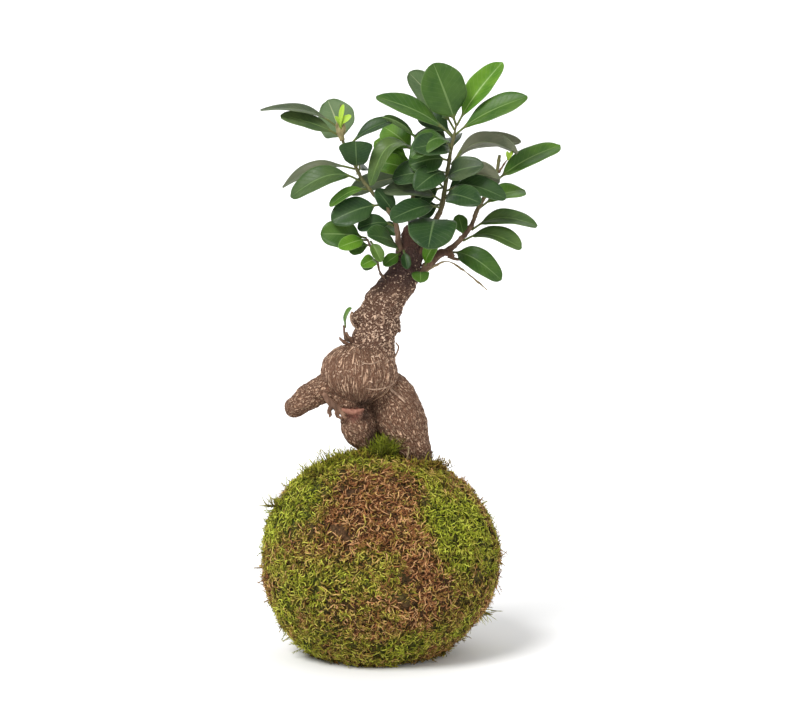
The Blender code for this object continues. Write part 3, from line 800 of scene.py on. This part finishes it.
def leaf_spine(name, wood):
    """Middle line, half-width vectors and edge lift along a leaf, read from its solid."""
    co, joined, rings = leaf_rings(name, wood)
    middles, halves, lifts = [], [], []
    for ring in rings[1:-1]:
        first = min(ring)
        cycle = [first]
        while len(cycle) < 6:
            cycle.append(min((joined[cycle[-1]] & ring) - set(cycle)))
        c = co[cycle]
        # The rib's two corners lie opposite each other and closest together.
        k = int(np.argmin([np.linalg.norm(c[i] - c[i + 3]) for i in range(3)]))
        rib = (c[k] + c[k + 3]) / 2
        low = (c[(k + 1) % 6] + c[(k + 2) % 6]) / 2
        high = (c[(k + 4) % 6] + c[(k + 5) % 6]) / 2
        half = (high - low) / 2
        if halves and half.dot(halves[-1]) < 0:
            half = -half
        middles.append(rib)
        halves.append(half)
        lifts.append((low + high) / 2 - rib)
    for ring, at in ((rings[0], 0), (rings[-1], len(middles) + 1)):
        end = min(at, len(middles) - 1)
        middles.insert(at, co[list(ring)].mean(0))
        halves.insert(at, halves[end] / np.linalg.norm(halves[end]) * 0.6 * MM)
        lifts.insert(at, lifts[end] * 0)
    lift = np.sum([v * np.linalg.norm(h) for v, h in zip(lifts, halves)], 0)
    up = lift / np.linalg.norm(lift)
    # The stalk runs on into the stem that it grows from.
    back = middles[0] - middles[1]
    middles[0] = middles[0] + back / np.linalg.norm(back) * 1.9 * MM
    return np.array(middles), np.array(halves), np.array(lifts), up


PROFILE = [(0, 0), (0.10, 0), (0.15, 0.07), (0.20, 0.22), (0.28, 0.50), (0.38, 0.79),
           (0.48, 0.94), (0.58, 1), (0.68, 0.985), (0.78, 0.90), (0.86, 0.76), (0.92, 0.59),
           (0.96, 0.42), (0.985, 0.26), (1, 0.06)]
# A wedge that widens all the way to a broad flat end.
WEDGE = [(0, 0), (0.08, 0), (0.14, 0.12), (0.30, 0.36), (0.50, 0.66), (0.70, 0.90),
         (0.84, 1), (0.92, 0.95), (0.97, 0.72), (1, 0.30)]


def leaf_mesh(name, middles, halves, lifts, up, seed, young, ripe=0, profile=PROFILE):
    """A closed blade with a rounded fold, sunken rib, raised veins and a wavy margin."""
    count = len(middles)
    share = 1 - (1 - np.linspace(0, 1, ROWS)) ** 1.25
    at = share * (count - 1)
    spine = blend_rows(middles, at)
    half = blend_rows(halves, at)
    step = np.gradient(spine, axis=0)
    run = np.concatenate([[0], np.cumsum(np.linalg.norm(np.diff(spine, axis=0), axis=1))])
    along = run / run[-1]
    step = unit(step)
    full = np.linalg.norm(halves, axis=1).max()
    side = unit(half)
    side -= (side * step).sum(1)[:, None] * step
    side = unit(side)
    face = np.cross(step, side)
    face = unit(face)
    face *= np.sign(face @ up)[:, None]
    shift = 0.05 * math.sin(seed * 2.3)
    at_profile = np.clip(along + shift * np.sin(math.pi * along), 0, 1)
    shape = np.interp(at_profile, *zip(*profile))
    shape = np.convolve(np.pad(shape, 1, "edge"), [0.2, 0.6, 0.2], "valid")
    width = np.maximum(full * shape, np.where(along < 0.3, 0.62 * MM, 0.12 * MM))
    leafy = smoothstep(width / full, 0.10, 0.4) * (1 - smoothstep(along, 0.985, 1))
    rise_share = np.linalg.norm(lifts, axis=1).max() / full
    ease = np.linspace(-1, 1, COLUMNS)
    s = np.sin(ease * math.pi / 2) * 0.35 + ease * 0.65
    flat = np.abs(s)
    verts, marks = [], []
    phase = seed * 1.7
    for layer in (1, -1):
        for i in range(ROWS):
            edge = 1 + 0.025 * math.sin(along[i] * 17 + phase) * leafy[i]
            wavy = 0.06 * full * np.sin(along[i] * 8 + phase + np.sign(s) * 1.3) * flat ** 2
            roll = -0.09 * full * smoothstep(flat, 0.70, 1)
            slant = along[i] * 13 - flat ** 0.85 * 2.6
            vein = 0.10 * MM * np.cos(math.tau * slant) * flat * (1 - flat) * 4
            groove = -0.28 * MM * np.exp(-(flat / 0.07) ** 2)
            rise = (wavy + roll + (vein + groove) * (1 if layer > 0 else 0.4)) * leafy[i]
            thick = (0.20 * MM + 0.30 * MM * np.exp(-(flat / 0.10) ** 2)) * layer
            round_stalk = layer * np.sqrt(np.clip(1 - s * s, 0.02, 1)) * min(width[i], 0.6 * MM)
            thick = thick * leafy[i] + round_stalk * (1 - leafy[i])
            cup = rise_share * width[i] * flat ** 1.5 * leafy[i]
            row = (spine[i] + side[i] * (s * width[i] * edge)[:, None]
                   + face[i] * (cup + rise + thick)[:, None])
            verts.append(row)
            marks.append(np.stack([s, np.full(COLUMNS, along[i]), np.full(COLUMNS, layer < 0),
                                   np.full(COLUMNS, along[i] < 0.3) * (1 - leafy[i])], 1))
    verts = np.concatenate(verts)
    marks = np.concatenate(marks)
    size = ROWS * COLUMNS
    quads = []
    for i in range(ROWS - 1):
        for k in range(COLUMNS - 1):
            a = i * COLUMNS + k
            quads.append((a, a + 1, a + COLUMNS + 1, a + COLUMNS))
            quads.append((size + a, size + a + COLUMNS, size + a + COLUMNS + 1, size + a + 1))
        for k, turn in ((0, 1), (COLUMNS - 1, -1)):
            a = i * COLUMNS + k
            quads.append((a, a + COLUMNS, size + a + COLUMNS, size + a)[::turn])
    for i, turn in ((0, -1), (ROWS - 1, 1)):
        for k in range(COLUMNS - 1):
            a = i * COLUMNS + k
            quads.append((a, a + 1, size + a + 1, size + a)[::turn])
    mesh = fast_mesh(name, verts, np.array(quads), np.zeros((0, 3), int))
    bm = bmesh.new()
    bm.from_mesh(mesh)
    bmesh.ops.recalc_face_normals(bm, faces=bm.faces)
    bm.to_mesh(mesh)
    bm.free()
    paint(mesh, "across", marks[:, 0])
    paint(mesh, "along", marks[:, 1])
    paint(mesh, "under", marks[:, 2])
    paint(mesh, "stalk", smoothstep(marks[:, 3], 0.3, 0.9))
    paint(mesh, "young", np.full(len(verts), young))
    paint(mesh, "ripe", np.full(len(verts), ripe))
    corner = np.empty(len(mesh.loops), np.int32)
    mesh.loops.foreach_get("vertex_index", corner)
    below = corner >= size
    across = (marks[corner, 0] + 1) / 2 * 0.44 + 0.03
    uv = np.stack([across + 0.5 * below, marks[corner, 1] * 0.94 + 0.03], 1)
    # The rim's faces keep to a thin strip beside the upper side's island.
    rim = np.empty(len(mesh.polygons), np.int32)
    mesh.polygons.foreach_get("loop_start", rim)
    for first in rim:
        four = slice(first, first + 4)
        if 0 < below[four].sum() < 4:
            uv[four, 0] = across[four] + 0.008 * below[four]
    mesh.uv_layers.new(name="OFBake").data.foreach_set("uv", uv.astype(np.float32).ravel())
    mesh.materials.append(leaf)
    return mesh


def make_leaf(name, wood, seed):
    """A fine blade over a leaf's solid."""
    young = YOUNG.get(name, 0.06)
    profile = WEDGE if name == "leaf_22" else PROFILE
    mesh = leaf_mesh(name + "_blade", *leaf_spine(name, wood), seed, young,
                     RIPE.get(name, 0), profile)
    ob = link(name + "_blade", mesh)
    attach(ob, "root")
    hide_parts(name)


# Small inner leaves with no solid of their own: foot, tip, width, lean, arch, fold, young, ripe.
INNER = {
    "under_left": ((41, 5, 286), (22, 8, 297), 15, 44, 3, 16, 0.1, 0),
    "behind_stem": ((40, 6, 281), (20, 12, 286), 15, 50, 3, 14, 0.05, 0.3),
    "rolled": ((23, -3, 283), (2.5, -7, 296), 4.5, 30, 1, 56, 0.55, 0.2),
    "under_arch": ((39.5, -2, 277), (19, -20, 279), 15, 58, 5, 16, 0.05, 0),
    "inner_fan": ((37, -3, 266), (20, -20, 257), 15, 56, 4, 16, 0.08, 0),
    "inner_dark": ((36, 3, 258), (20, 8, 249), 15, 60, 3, 14, 0.05, 0),
    "right_dark": ((37, -3, 262), (57, -18, 270), 14, 60, 4, 16, 0.05, 0.3),
    "right_low": ((36, 4, 252), (58, 4, 261), 16, 62, 4, 14, 0.05, 0),
    "low_behind": ((35, 3, 249), (22, 8, 242), 12, 60, 2, 14, 0.05, 0),
    "left_small": ((9, -3, 243), (-1, -6, 257), 10, 64, 2, 16, 0.05, 0),
    "bright_behind": ((19, 8, 270), (-2, 10, 283), 13, 66, 2, 14, 0.85, 0),
    "bright_low": ((19, 8, 262), (4, 6, 276), 13, 66, 2, 14, 0.8, 0),
    "right_upright": ((47, 0, 231), (44, 6, 243), 8, 70, 1, 20, 0.3, 0),
    "centre_small": ((12, -2, 230), (3, 3, 238), 8, 66, 1, 16, 0.1, 0),
    "low_left": ((-4, -8, 227), (-16, -7, 224), 9, 68, 1, 18, 0.35, 0),
    "low_translucent": ((-4, -10, 229), (2, -16, 218), 7, 60, 1, 30, 0.75, 0.3),
    "low_dark": ((-1, -9, 219), (-8, -14, 214), 6.5, 66, 1, 16, 0.15, 0),
    "low_mid": ((12, -6, 222), (3, -13, 216), 7, 70, 1, 14, 0.5, 0),
    "trunk_dark": ((14, -8, 224), (16, -14, 214), 5.5, 60, 1, 16, 0.1, 0),
    "bud_tall": ((-20.3, -4.4, 290), (-18.6, -6, 303), 2.8, 30, 1.4, 30, 1.5, 0),
    "bud_side": ((-19.8, -4.6, 292), (-14.4, -6.4, 297), 3.6, 60, 1.2, 20, 1.5, 0),
    "bud_low": ((-20.5, -4.6, 290.5), (-23.2, -6, 296.5), 2.4, 40, 0.8, 30, 1.4, 0),
    "bud_right": ((71, 0.4, 273), (73.6, -1, 277.5), 2.4, 50, 0.6, 24, 1.5, 0),
    "bud_right_2": ((71, 0.4, 273), (70.4, -1, 277.8), 2, 50, 0.5, 24, 1.4, 0),
}


def make_inner(name, foot, tip, width, lean, arch, fold, young, ripe, seed):
    foot, tip = np.array(foot) * MM, np.array(tip) * MM
    chord = tip - foot
    length = np.linalg.norm(chord)
    along = chord / length
    up = np.array([0, -math.sin(math.radians(lean)), math.cos(math.radians(lean))])
    up -= up.dot(along) * along
    up /= np.linalg.norm(up)
    middles, halves, lifts = [], [], []
    for k in range(9):
        t = k / 8
        middles.append(foot + chord * t + up * arch * MM * math.sin(math.pi * t ** 0.85))
        slope = arch * MM * math.pi * math.cos(math.pi * t ** 0.85) / length
        way = along + up * slope
        way /= np.linalg.norm(way)
        side = np.cross(way, up)
        side /= np.linalg.norm(side)
        half = max(width / 2 * math.sin(math.pi * min(1, max(0, t))), 0.6) * MM
        halves.append(side * half)
        lifts.append(np.cross(side, way) * half * math.tan(math.radians(fold)))
    halves = np.array(halves)
    halves[4] *= width / 2 * MM / np.linalg.norm(halves[4])
    mesh = leaf_mesh("inner_" + name, np.array(middles), halves, np.array(lifts), up, seed,
                     young, ripe)
    ob = link("inner_" + name, mesh)
    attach(ob, "root")


# ---- moss

# Patches of the ball's skin: centre in mm, reach in mm, how alive (0 dead brown, 1 bright green).
PATCHES = [
    ((-44, -38, 91), 21, 0.95), ((-30, -25, 107), 14, 0.62), ((-58, -20, 80), 17, 0.9),
    ((-10, -48, 98), 20, 0), ((6, -55, 86), 19, 0), ((-20, -54, 76), 16, 0.08),
    ((-40, -46, 68), 14, 0.2), ((22, -60, 78), 9, 0.1), ((12, -62, 77), 5, 0.85),
    ((38, -48, 87), 16, 1), ((54, -32, 78), 15, 0.95), ((46, -44, 64), 12, 0.75),
    ((24, -60, 60), 10, 0), ((29, -58, 46), 11, 0), ((22, -58, 32), 11, 0.12),
    ((-34, -54, 52), 15, 0.72), ((-6, -64, 54), 12, 0.62), ((-50, -40, 36), 13, 0.72),
    ((-62, -16, 44), 10, 0.12), ((-58, -26, 58), 9, 0.3), ((-14, -62, 38), 12, 0.3),
    ((2, -60, 24), 10, 0.12), ((-30, -50, 22), 13, 0.58), ((50, -40, 46), 11, 0.42),
    ((60, -24, 54), 11, 0.6), ((42, -44, 26), 11, 0.45), ((14, -46, 10), 15, 0.75),
    ((-10, -44, 9), 13, 0.55), ((46, -30, 98), 8, 0.15), ((0, -20, 113), 13, 0.62),
    ((36, -50, 36), 7, 0.2), ((-42, -46, 30), 6, 0.25),
]


def liveness(points):
    """How alive the moss is at each point."""
    centres = np.array([p[0] for p in PATCHES]) * MM
    reach = np.array([p[1] for p in PATCHES]) * MM
    live = np.array([p[2] for p in PATCHES])
    away = np.linalg.norm(points[:, None] - centres[None], axis=2) / reach[None]
    pull = np.exp(-(away ** 2) * 1.6)
    rest = 0.45 + 0.6 * fractal(points, 26, 2, seed=70)
    known = pull.sum(1)
    found = (pull * live).sum(1) / np.maximum(known, 1e-6)
    mixed = np.clip(known * 2, 0, 1)
    out = found * mixed + rest * (1 - mixed)
    return np.clip(out + 0.30 * fractal(points, 7, 2, seed=50), 0, 1)


def relief(points):
    """Tussocks and hollows of the moss in mm, as a lift off the sheet."""
    return (1.1 * fractal(points, 12, 2, seed=1) + 1 * fractal(points, 4.5, 2, seed=4)) - 0.9


def outer_faces(name):
    """Corners of a sheet's triangles that look out of the ball."""
    mesh = nodes[name].data
    mesh.calc_loop_triangles()
    co = points_of(mesh)
    tri = np.array([t.vertices[:] for t in mesh.loop_triangles])
    corners = co[tri]
    normal = np.cross(corners[:, 1] - corners[:, 0], corners[:, 2] - corners[:, 0])
    area = np.linalg.norm(normal, axis=1) / 2
    keep = area > 1e-10
    corners, normal, area, tri = corners[keep], normal[keep], area[keep], tri[keep]
    normal = unit(normal)
    centre = corners.mean(1)
    out = centre - np.array(BALL_MIDDLE)
    out = unit(out)
    own = BVHTree.FromPolygons(co.tolist(), tri.tolist())
    facing = (normal * out).sum(1) > 0.35
    for i in np.flatnonzero(facing):
        start = Vector(centre[i] + out[i] * 0.0003)
        if own.ray_cast(start, Vector(out[i]))[0] is not None:
            facing[i] = False
    return corners[facing], out[facing], area[facing]


def scatter(corners, normal, area, every):
    """Random spots on triangles, one for each given number of square millimetres."""
    count = int(area.sum() / (every * MM * MM))
    pick = rng.choice(len(area), count, p=area / area.sum())
    u, v = rng.random((2, count))
    flip = u + v > 1
    u[flip], v[flip] = 1 - u[flip], 1 - v[flip]
    spot = corners[pick, 0] + (corners[pick, 1] - corners[pick, 0]) * u[:, None] \
        + (corners[pick, 2] - corners[pick, 0]) * v[:, None]
    return spot, normal[pick]


def frames(normal):
    """Two directions along the surface at each normal."""
    helper = np.where(np.abs(normal[:, 2:3]) < 0.9, [[0, 0, 1]], [[1, 0, 0]])
    first = np.cross(helper, normal)
    first = unit(first)
    return first, np.cross(normal, first)


BANDS = 4


def path_of(root, normal, length, heading, rise, turn, nod):
    """Points along curved strands, and the way each strand runs at each of them."""
    first, second = frames(normal)
    spots, ways = [root], []
    step = (length / BANDS)[:, None]
    for k in range(BANDS + 1):
        angle = heading + turn * k / BANDS
        climb = rise + nod * k / BANDS
        flat = first * np.cos(angle)[:, None] + second * np.sin(angle)[:, None]
        ways.append(flat * np.cos(climb)[:, None] + normal * np.sin(climb)[:, None])
        spots.append(spots[-1] + ways[-1] * step)
    return spots[:-1], ways


def strands(root, normal, length, width, heading, rise, turn, nod, feather):
    """Arrays of thin curved three-sided strands: points, faces, height along each, how many."""
    count = len(root)
    spots, ways = path_of(root, normal, length, heading, rise, turn, nod)
    rings, heights = [], []
    for k, (spot, way) in enumerate(zip(spots, ways)):
        t = k / BANDS
        side = np.cross(way, normal)
        side /= np.maximum(np.linalg.norm(side, axis=1), 1e-9)[:, None]
        top = np.cross(side, way)
        if k == BANDS:
            rings.append(spot[:, None])
        else:
            wave = 1 + feather * (1 if k % 2 else -1)
            r = (width * (1 - 0.6 * t) * wave / 2)[:, None]
            rings.append(np.stack([spot - side * r, spot + side * r, spot + top * r * 0.9], 1))
        heights.append(np.full((count, rings[-1].shape[1]), t))
    verts = np.concatenate(rings, 1)
    per = verts.shape[1]
    verts = verts.reshape(-1, 3)
    height = np.concatenate(heights, 1).ravel()
    base = (np.arange(count) * per)[:, None]
    quads = []
    for k in range(BANDS - 1):
        for i in range(3):
            j = (i + 1) % 3
            quads.append([3 * k + i, 3 * k + j, 3 * k + 3 + j, 3 * k + 3 + i])
    last = 3 * (BANDS - 1)
    tris = [[last + i, last + (i + 1) % 3, last + 3] for i in range(3)] + [[2, 1, 0]]
    quads = (base[:, None] + np.array(quads)[None]).reshape(-1, 4)
    tris = (base[:, None] + np.array(tris)[None]).reshape(-1, 3)
    return verts, quads, tris, height, count


def tussocks(spot, normal):
    """Tufts of short strands that spread from a shared middle, and which of them lie on top."""
    count = len(spot)
    first, second = frames(normal)
    around = rng.uniform(0, math.tau, (count, TUSSOCK))
    share = np.sqrt(rng.random((count, TUSSOCK)))
    reach = share * TUSSOCK_REACH
    root = spot[:, None] + (first[:, None] * np.cos(around)[..., None]
                            + second[:, None] * np.sin(around)[..., None]) * reach[..., None]
    lean_all = rng.uniform(0, math.tau, count)[:, None]
    heading = around + rng.normal(0, 0.9, around.shape)
    heading = np.where(rng.random(around.shape) < 0.35, lean_all, heading)
    # The last few of each tuft lie curled over the others.
    over = np.tile(np.arange(TUSSOCK) >= TUSSOCK * 0.7, (count, 1))
    root = root + normal[:, None] * (over[..., None] * 1.3 * MM)
    rise = np.where(over, rng.uniform(0, 0.7, around.shape),
                    1.15 - 0.85 * share + rng.normal(0, 0.25, around.shape))
    tall = rng.uniform(0.7, 1.3, count)[:, None]
    length = rng.uniform(2.4, 5.2, around.shape) * MM * tall
    width = rng.uniform(0.45, 0.75, around.shape) * MM * (1 + 0.25 * over)
    turn = rng.normal(0, 2.1, around.shape)
    nod = rng.uniform(-2, 0.1, around.shape)
    up = np.repeat(normal, TUSSOCK, 0)
    return (root.reshape(-1, 3), up, length.ravel(), width.ravel(), heading.ravel(),
            np.clip(rise.ravel(), 0, 1.5), turn.ravel(), nod.ravel()), over.ravel()


def sprigs(spot, normal):
    """Longer feathery shoots that stand off the ball: a stem with short barbs on both sides."""
    count = len(spot)
    length = rng.uniform(4.5, 9, count) * MM
    heading = rng.uniform(0, math.tau, count)
    rise = rng.uniform(0.35, 1.2, count)
    turn = rng.normal(0, 0.6, count)
    nod = rng.uniform(-0.9, 0.1, count)
    parts = [strands(spot, normal, length, np.full(count, 0.6 * MM), heading, rise, turn, nod, 0)]
    joints, _ = path_of(spot, normal, length, heading, rise, turn, nod)
    for k in range(1, BANDS):
        t = k / BANDS
        for side in (-1, 1):
            parts.append(strands(joints[k], normal, length * (0.36 - 0.16 * t),
                                 np.full(count, 0.5 * MM), heading + turn * t + side * 0.8,
                                 rise + nod * t + 0.1, np.full(count, -side * 0.5), nod * 0.4, 0))
    return parts


def strand_piece(name, parts, tones, lives):
    """One piece from strand arrays, each strand with its own small patch in the bake layout."""
    verts, quads, tris, heights, tone, live, owner = [], [], [], [], [], [], []
    offset = 0
    made = 0
    for (v, q, t, h, count), a, b in zip(parts, tones, lives):
        per = len(v) // count
        verts.append(v)
        quads.append(q + offset)
        tris.append(t + offset)
        heights.append(h)
        tone.append(np.repeat(a, per))
        live.append(np.repeat(b, per))
        owner.append(np.repeat(np.arange(count) + made, per))
        offset += len(v)
        made += count
    verts = np.concatenate(verts)
    verts[:, 2] = np.maximum(verts[:, 2], 0.15 * MM)
    mesh = fast_mesh(name, verts, np.concatenate(quads), np.concatenate(tris))
    height = np.concatenate(heights)
    owner = np.concatenate(owner)
    paint(mesh, "height", height)
    paint(mesh, "tone", np.clip(np.concatenate(tone), 0, 1))
    paint(mesh, "live", np.concatenate(live))
    corner = np.empty(len(mesh.loops), np.int32)
    mesh.loops.foreach_get("vertex_index", corner)
    grid = math.ceil(math.sqrt(made))
    per = 3 * BANDS + 1
    side = np.where(corner % per == per - 1, 1, corner % per % 3)
    cell = owner[corner]
    u = (cell % grid + 0.15 + 0.7 * height[corner]) / grid
    v = (cell // grid + 0.2 + 0.3 * side) / grid
    uv = np.stack([u, v], 1).astype(np.float32)
    mesh.uv_layers.new(name="OFBake").data.foreach_set("uv", uv.ravel())
    mesh.materials.append(moss_hair)
    ob = link(name, mesh)
    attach(ob, "root")


def make_moss(name, every):
    """A sheet of moss: a felted lumpy body under thousands of strands."""
    mesh = remeshed(name + "_mat", welded(name), MAT_VOXEL, 2)
    co = points_of(mesh)
    normal = normals_of(mesh)
    out = co - np.array(BALL_MIDDLE)
    out = unit(out)
    outward = smoothstep((out * normal).sum(1), 0.2, 0.7)
    co = co + normal * (outward * relief(co))[:, None] * MM
    co[:, 2] = np.maximum(co[:, 2], 0)
    put_points(mesh, co)
    paint(mesh, "live", liveness(co))
    mesh.materials.clear()
    mesh.materials.append(moss_mat)
    body = link(name + "_mat", mesh)
    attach(body, "root")
    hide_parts(name)
    faces = outer_faces(name)
    for half in "ab":
        spot, up = scatter(*faces, every * TUSSOCK * 2)
        spot = spot + up * (relief(spot) - 0.4)[:, None] * MM
        values, over = tussocks(spot, up)
        count = len(values[0])
        shade = np.repeat(rng.normal(0, 0.10, len(spot)), TUSSOCK)
        live = liveness(values[0]) + shade + rng.normal(0, 0.17, count)
        # Strands lying on top get a bright tone and those beneath a dark tone: painted light on the
        # top layer and painted shade below it.
        tone = np.where(over, rng.normal(0.86, 0.16, count), rng.normal(0.36, 0.22, count))
        tone += np.repeat(rng.normal(0, 0.12, len(spot)), TUSSOCK)
        parts = [strands(*values, 0.25)]
        tones = [np.clip(tone, 0, 1)]
        lives = [np.clip(live, 0, 1)]
        few, few_up = scatter(*faces, every * 170)
        few_live = np.clip(liveness(few) + 0.1, 0, 1)
        few = few + few_up * (relief(few) - 0.4)[:, None] * MM
        for part in sprigs(few, few_up):
            parts.append(part)
            tones.append(np.full(len(few), 0.6))
            lives.append(few_live)
        strand_piece(f"{name}_strands_{half}", parts, tones, lives)


def make_tuft(name, spot, normal, count, lengths, spread, live, tone):
    """One tuft of upright blades at a place in mm."""
    root = np.repeat([spot], count, 0) * MM + rng.normal(0, spread, (count, 3)) * MM * [1, 1, 0.3]
    up = np.repeat([normal], count, 0).astype(float)
    up = unit(up)
    length = rng.uniform(*lengths, count) * MM
    part = strands(root, up, length, rng.uniform(0.5, 0.8, count) * MM,
                   rng.uniform(0, math.tau, count), rng.uniform(0.7, 1.4, count),
                   rng.normal(0, 0.6, count), rng.uniform(-0.9, 0, count), 0.2)
    strand_piece(name, [part], [np.clip(rng.normal(tone, 0.15, count), 0, 1)],
                 [np.clip(rng.normal(live, 0.1, count), 0, 1)])


# Tufts round the roots: place, leaning, how many, lengths, spread in mm, liveness, tone.
TUFTS = {
    "tuft_between_legs": ((3, -8, 111), (0, -0.2, 1), 340, (8, 16), 3, 0.97, 0.3),
    "tuft_behind_legs": ((2.5, 5, 112), (0, 0.1, 1), 300, (8, 15), 3.4, 0.7, 0.25),
    "tuft_left_leg": ((-9, -10, 110), (-0.2, -0.5, 1), 150, (4, 8), 4, 0.55, 0.55),
    "tuft_right_leg": ((20, -10, 105), (0.1, -0.7, 1), 130, (4, 8), 4, 0.5, 0.5),
    "tuft_far_left": ((-22, -10, 108), (-0.4, -0.4, 1), 130, (4, 9), 4.5, 0.7, 0.6),
    "tuft_far_right": ((31, -4, 104), (0.5, -0.3, 1), 110, (4, 8), 4, 0.4, 0.5),
    "tuft_back": ((4, 12, 109), (0, 0.5, 1), 130, (4, 8), 6, 0.6, 0.5),
    "stray_left": ((-56, -14, 84), (-1, -0.2, 0.8), 34, (5, 11), 2, 0.7, 0.5),
    "stray_high_left": ((-34, -18, 103), (-0.5, -0.3, 1), 70, (5, 10), 4, 0.75, 0.55),
    "stray_right": ((57, -12, 25), (1, -0.1, -0.2), 16, (5, 10), 2, 0.7, 0.6),
}


# ---- stage

def make_stage():
    """A sheet of pale paper that curves up behind the plant, under a white sky."""
    path = [(-3, 0), (1.2, 0)]
    for k in range(1, 13):
        turn = math.radians(7.5 * k)
        path.append((1.2 + 1.2 * math.sin(turn), 1.2 - 1.2 * math.cos(turn)))
    path.append((2.4, 4))
    verts = [(x, y, z) for y, z in path for x in (-4, 4)]
    faces = [(2 * k, 2 * k + 1, 2 * k + 3, 2 * k + 2) for k in range(len(path) - 1)]
    paper = bpy.data.meshes.new("floor")
    paper.from_pydata(verts, [], faces)
    paper.polygons.foreach_set("use_smooth", [True] * len(faces))
    ob = link("floor", paper)
    n = Nodes("floor_paper")
    grain = n.noise(30, 2)
    paper.materials.append(n.finish(n.mix(grain, (0.93, 0.93, 0.93), (0.96, 0.96, 0.96)), 0.9, 0.1))
    world = bpy.data.worlds.new("studio")
    world.use_nodes = True
    back = world.node_tree.nodes["Background"]
    back.inputs["Color"].default_value = (1, 1, 1, 1)
    back.inputs["Strength"].default_value = 0.62
    bpy.context.scene.world = world
    lamps = {"key": ((-0.55, -0.75, 1), 2.6, 24), "fill": ((0.9, -0.6, 0.5), 0.35, 40)}
    for name, (spot, power, spread) in lamps.items():
        lamp = bpy.data.lights.new(name, "SUN")
        lamp.energy = power
        lamp.angle = math.radians(spread)
        ob = bpy.data.objects.new(name, lamp)
        ob.rotation_euler = (-Vector(spot)).to_track_quat("-Z", "Y").to_euler()
        bpy.context.scene.collection.objects.link(ob)


CAMERA_AIM = Vector((0.012, 0, 0.168))
CAMERA_AWAY = 1.2
CAMERA_RISE = 5
FRAME_WIDE = 0.440


def make_camera():
    rise = math.radians(CAMERA_RISE)
    cam = bpy.data.cameras.new("camera")
    cam.sensor_width = 36
    cam.lens = 36 * CAMERA_AWAY / FRAME_WIDE
    ob = bpy.data.objects.new("camera", cam)
    ob.location = CAMERA_AIM + Vector((0, -math.cos(rise), math.sin(rise))) * CAMERA_AWAY
    ob.rotation_euler = (CAMERA_AIM - ob.location).to_track_quat("-Z", "Y").to_euler()
    bpy.context.scene.collection.objects.link(ob)
    bpy.context.scene.camera = ob


bpy.context.scene.view_settings.view_transform = "Standard"
bark = bark_material()
twig = twig_material("twig_bark", (0.105, 0.060, 0.038), (0.22, 0.135, 0.085), True)
dry = twig_material("dry_fibre", (0.25, 0.18, 0.09), (0.42, 0.32, 0.18))
sheath = twig_material("bud_scales", (0.20, 0.16, 0.07), (0.42, 0.36, 0.17))
pale_root = twig_material("pale_root", (0.22, 0.125, 0.08), (0.60, 0.42, 0.30))
root_brown = twig_material("root_brown", (0.115, 0.056, 0.034), (0.30, 0.175, 0.112))
old_wood = twig_material("old_wood", (0.075, 0.036, 0.022), (0.20, 0.105, 0.066))
red_root = twig_material("red_root", (0.17, 0.062, 0.040), (0.40, 0.19, 0.13))
fleck_skin = twig_material("fleck_skin", (0.44, 0.275, 0.18), (0.86, 0.64, 0.48))
leaf = leaf_material()
moss_hair = moss_material()
moss_mat = mat_material()

make_camera()
make_stage()
bark_tree = make_rootstock()
make_flakes(bark_tree)
make_rootlets(bark_tree)
for stem in WOOD[1:]:
    make_stem(stem, dry if stem == "dry_stalk" else twig)
wood_tree = tree_of(WOOD)
for index, leaf_name in enumerate(sorted(n for n in nodes if n.startswith("leaf_"))):
    make_leaf(leaf_name, wood_tree, index + 1)
for index, (inner, row) in enumerate(INNER.items()):
    make_inner(inner, *row, index + 60)
for sheet, slot_word in (("moss_front", "moss_green"), ("moss_shoulder", "moss_green"),
                         ("moss_top", "moss_brown"), ("moss_right", "moss_green"),
                         ("moss_back", "moss_green")):
    make_moss(sheet, STRAND_AREA)
make_moss("moss_base", STRAND_AREA_BELOW)
for tuft, row in TUFTS.items():
    make_tuft(tuft, *row)
nodes["soil_core"].data.materials.clear()
nodes["soil_core"].data.materials.append(soil_material())
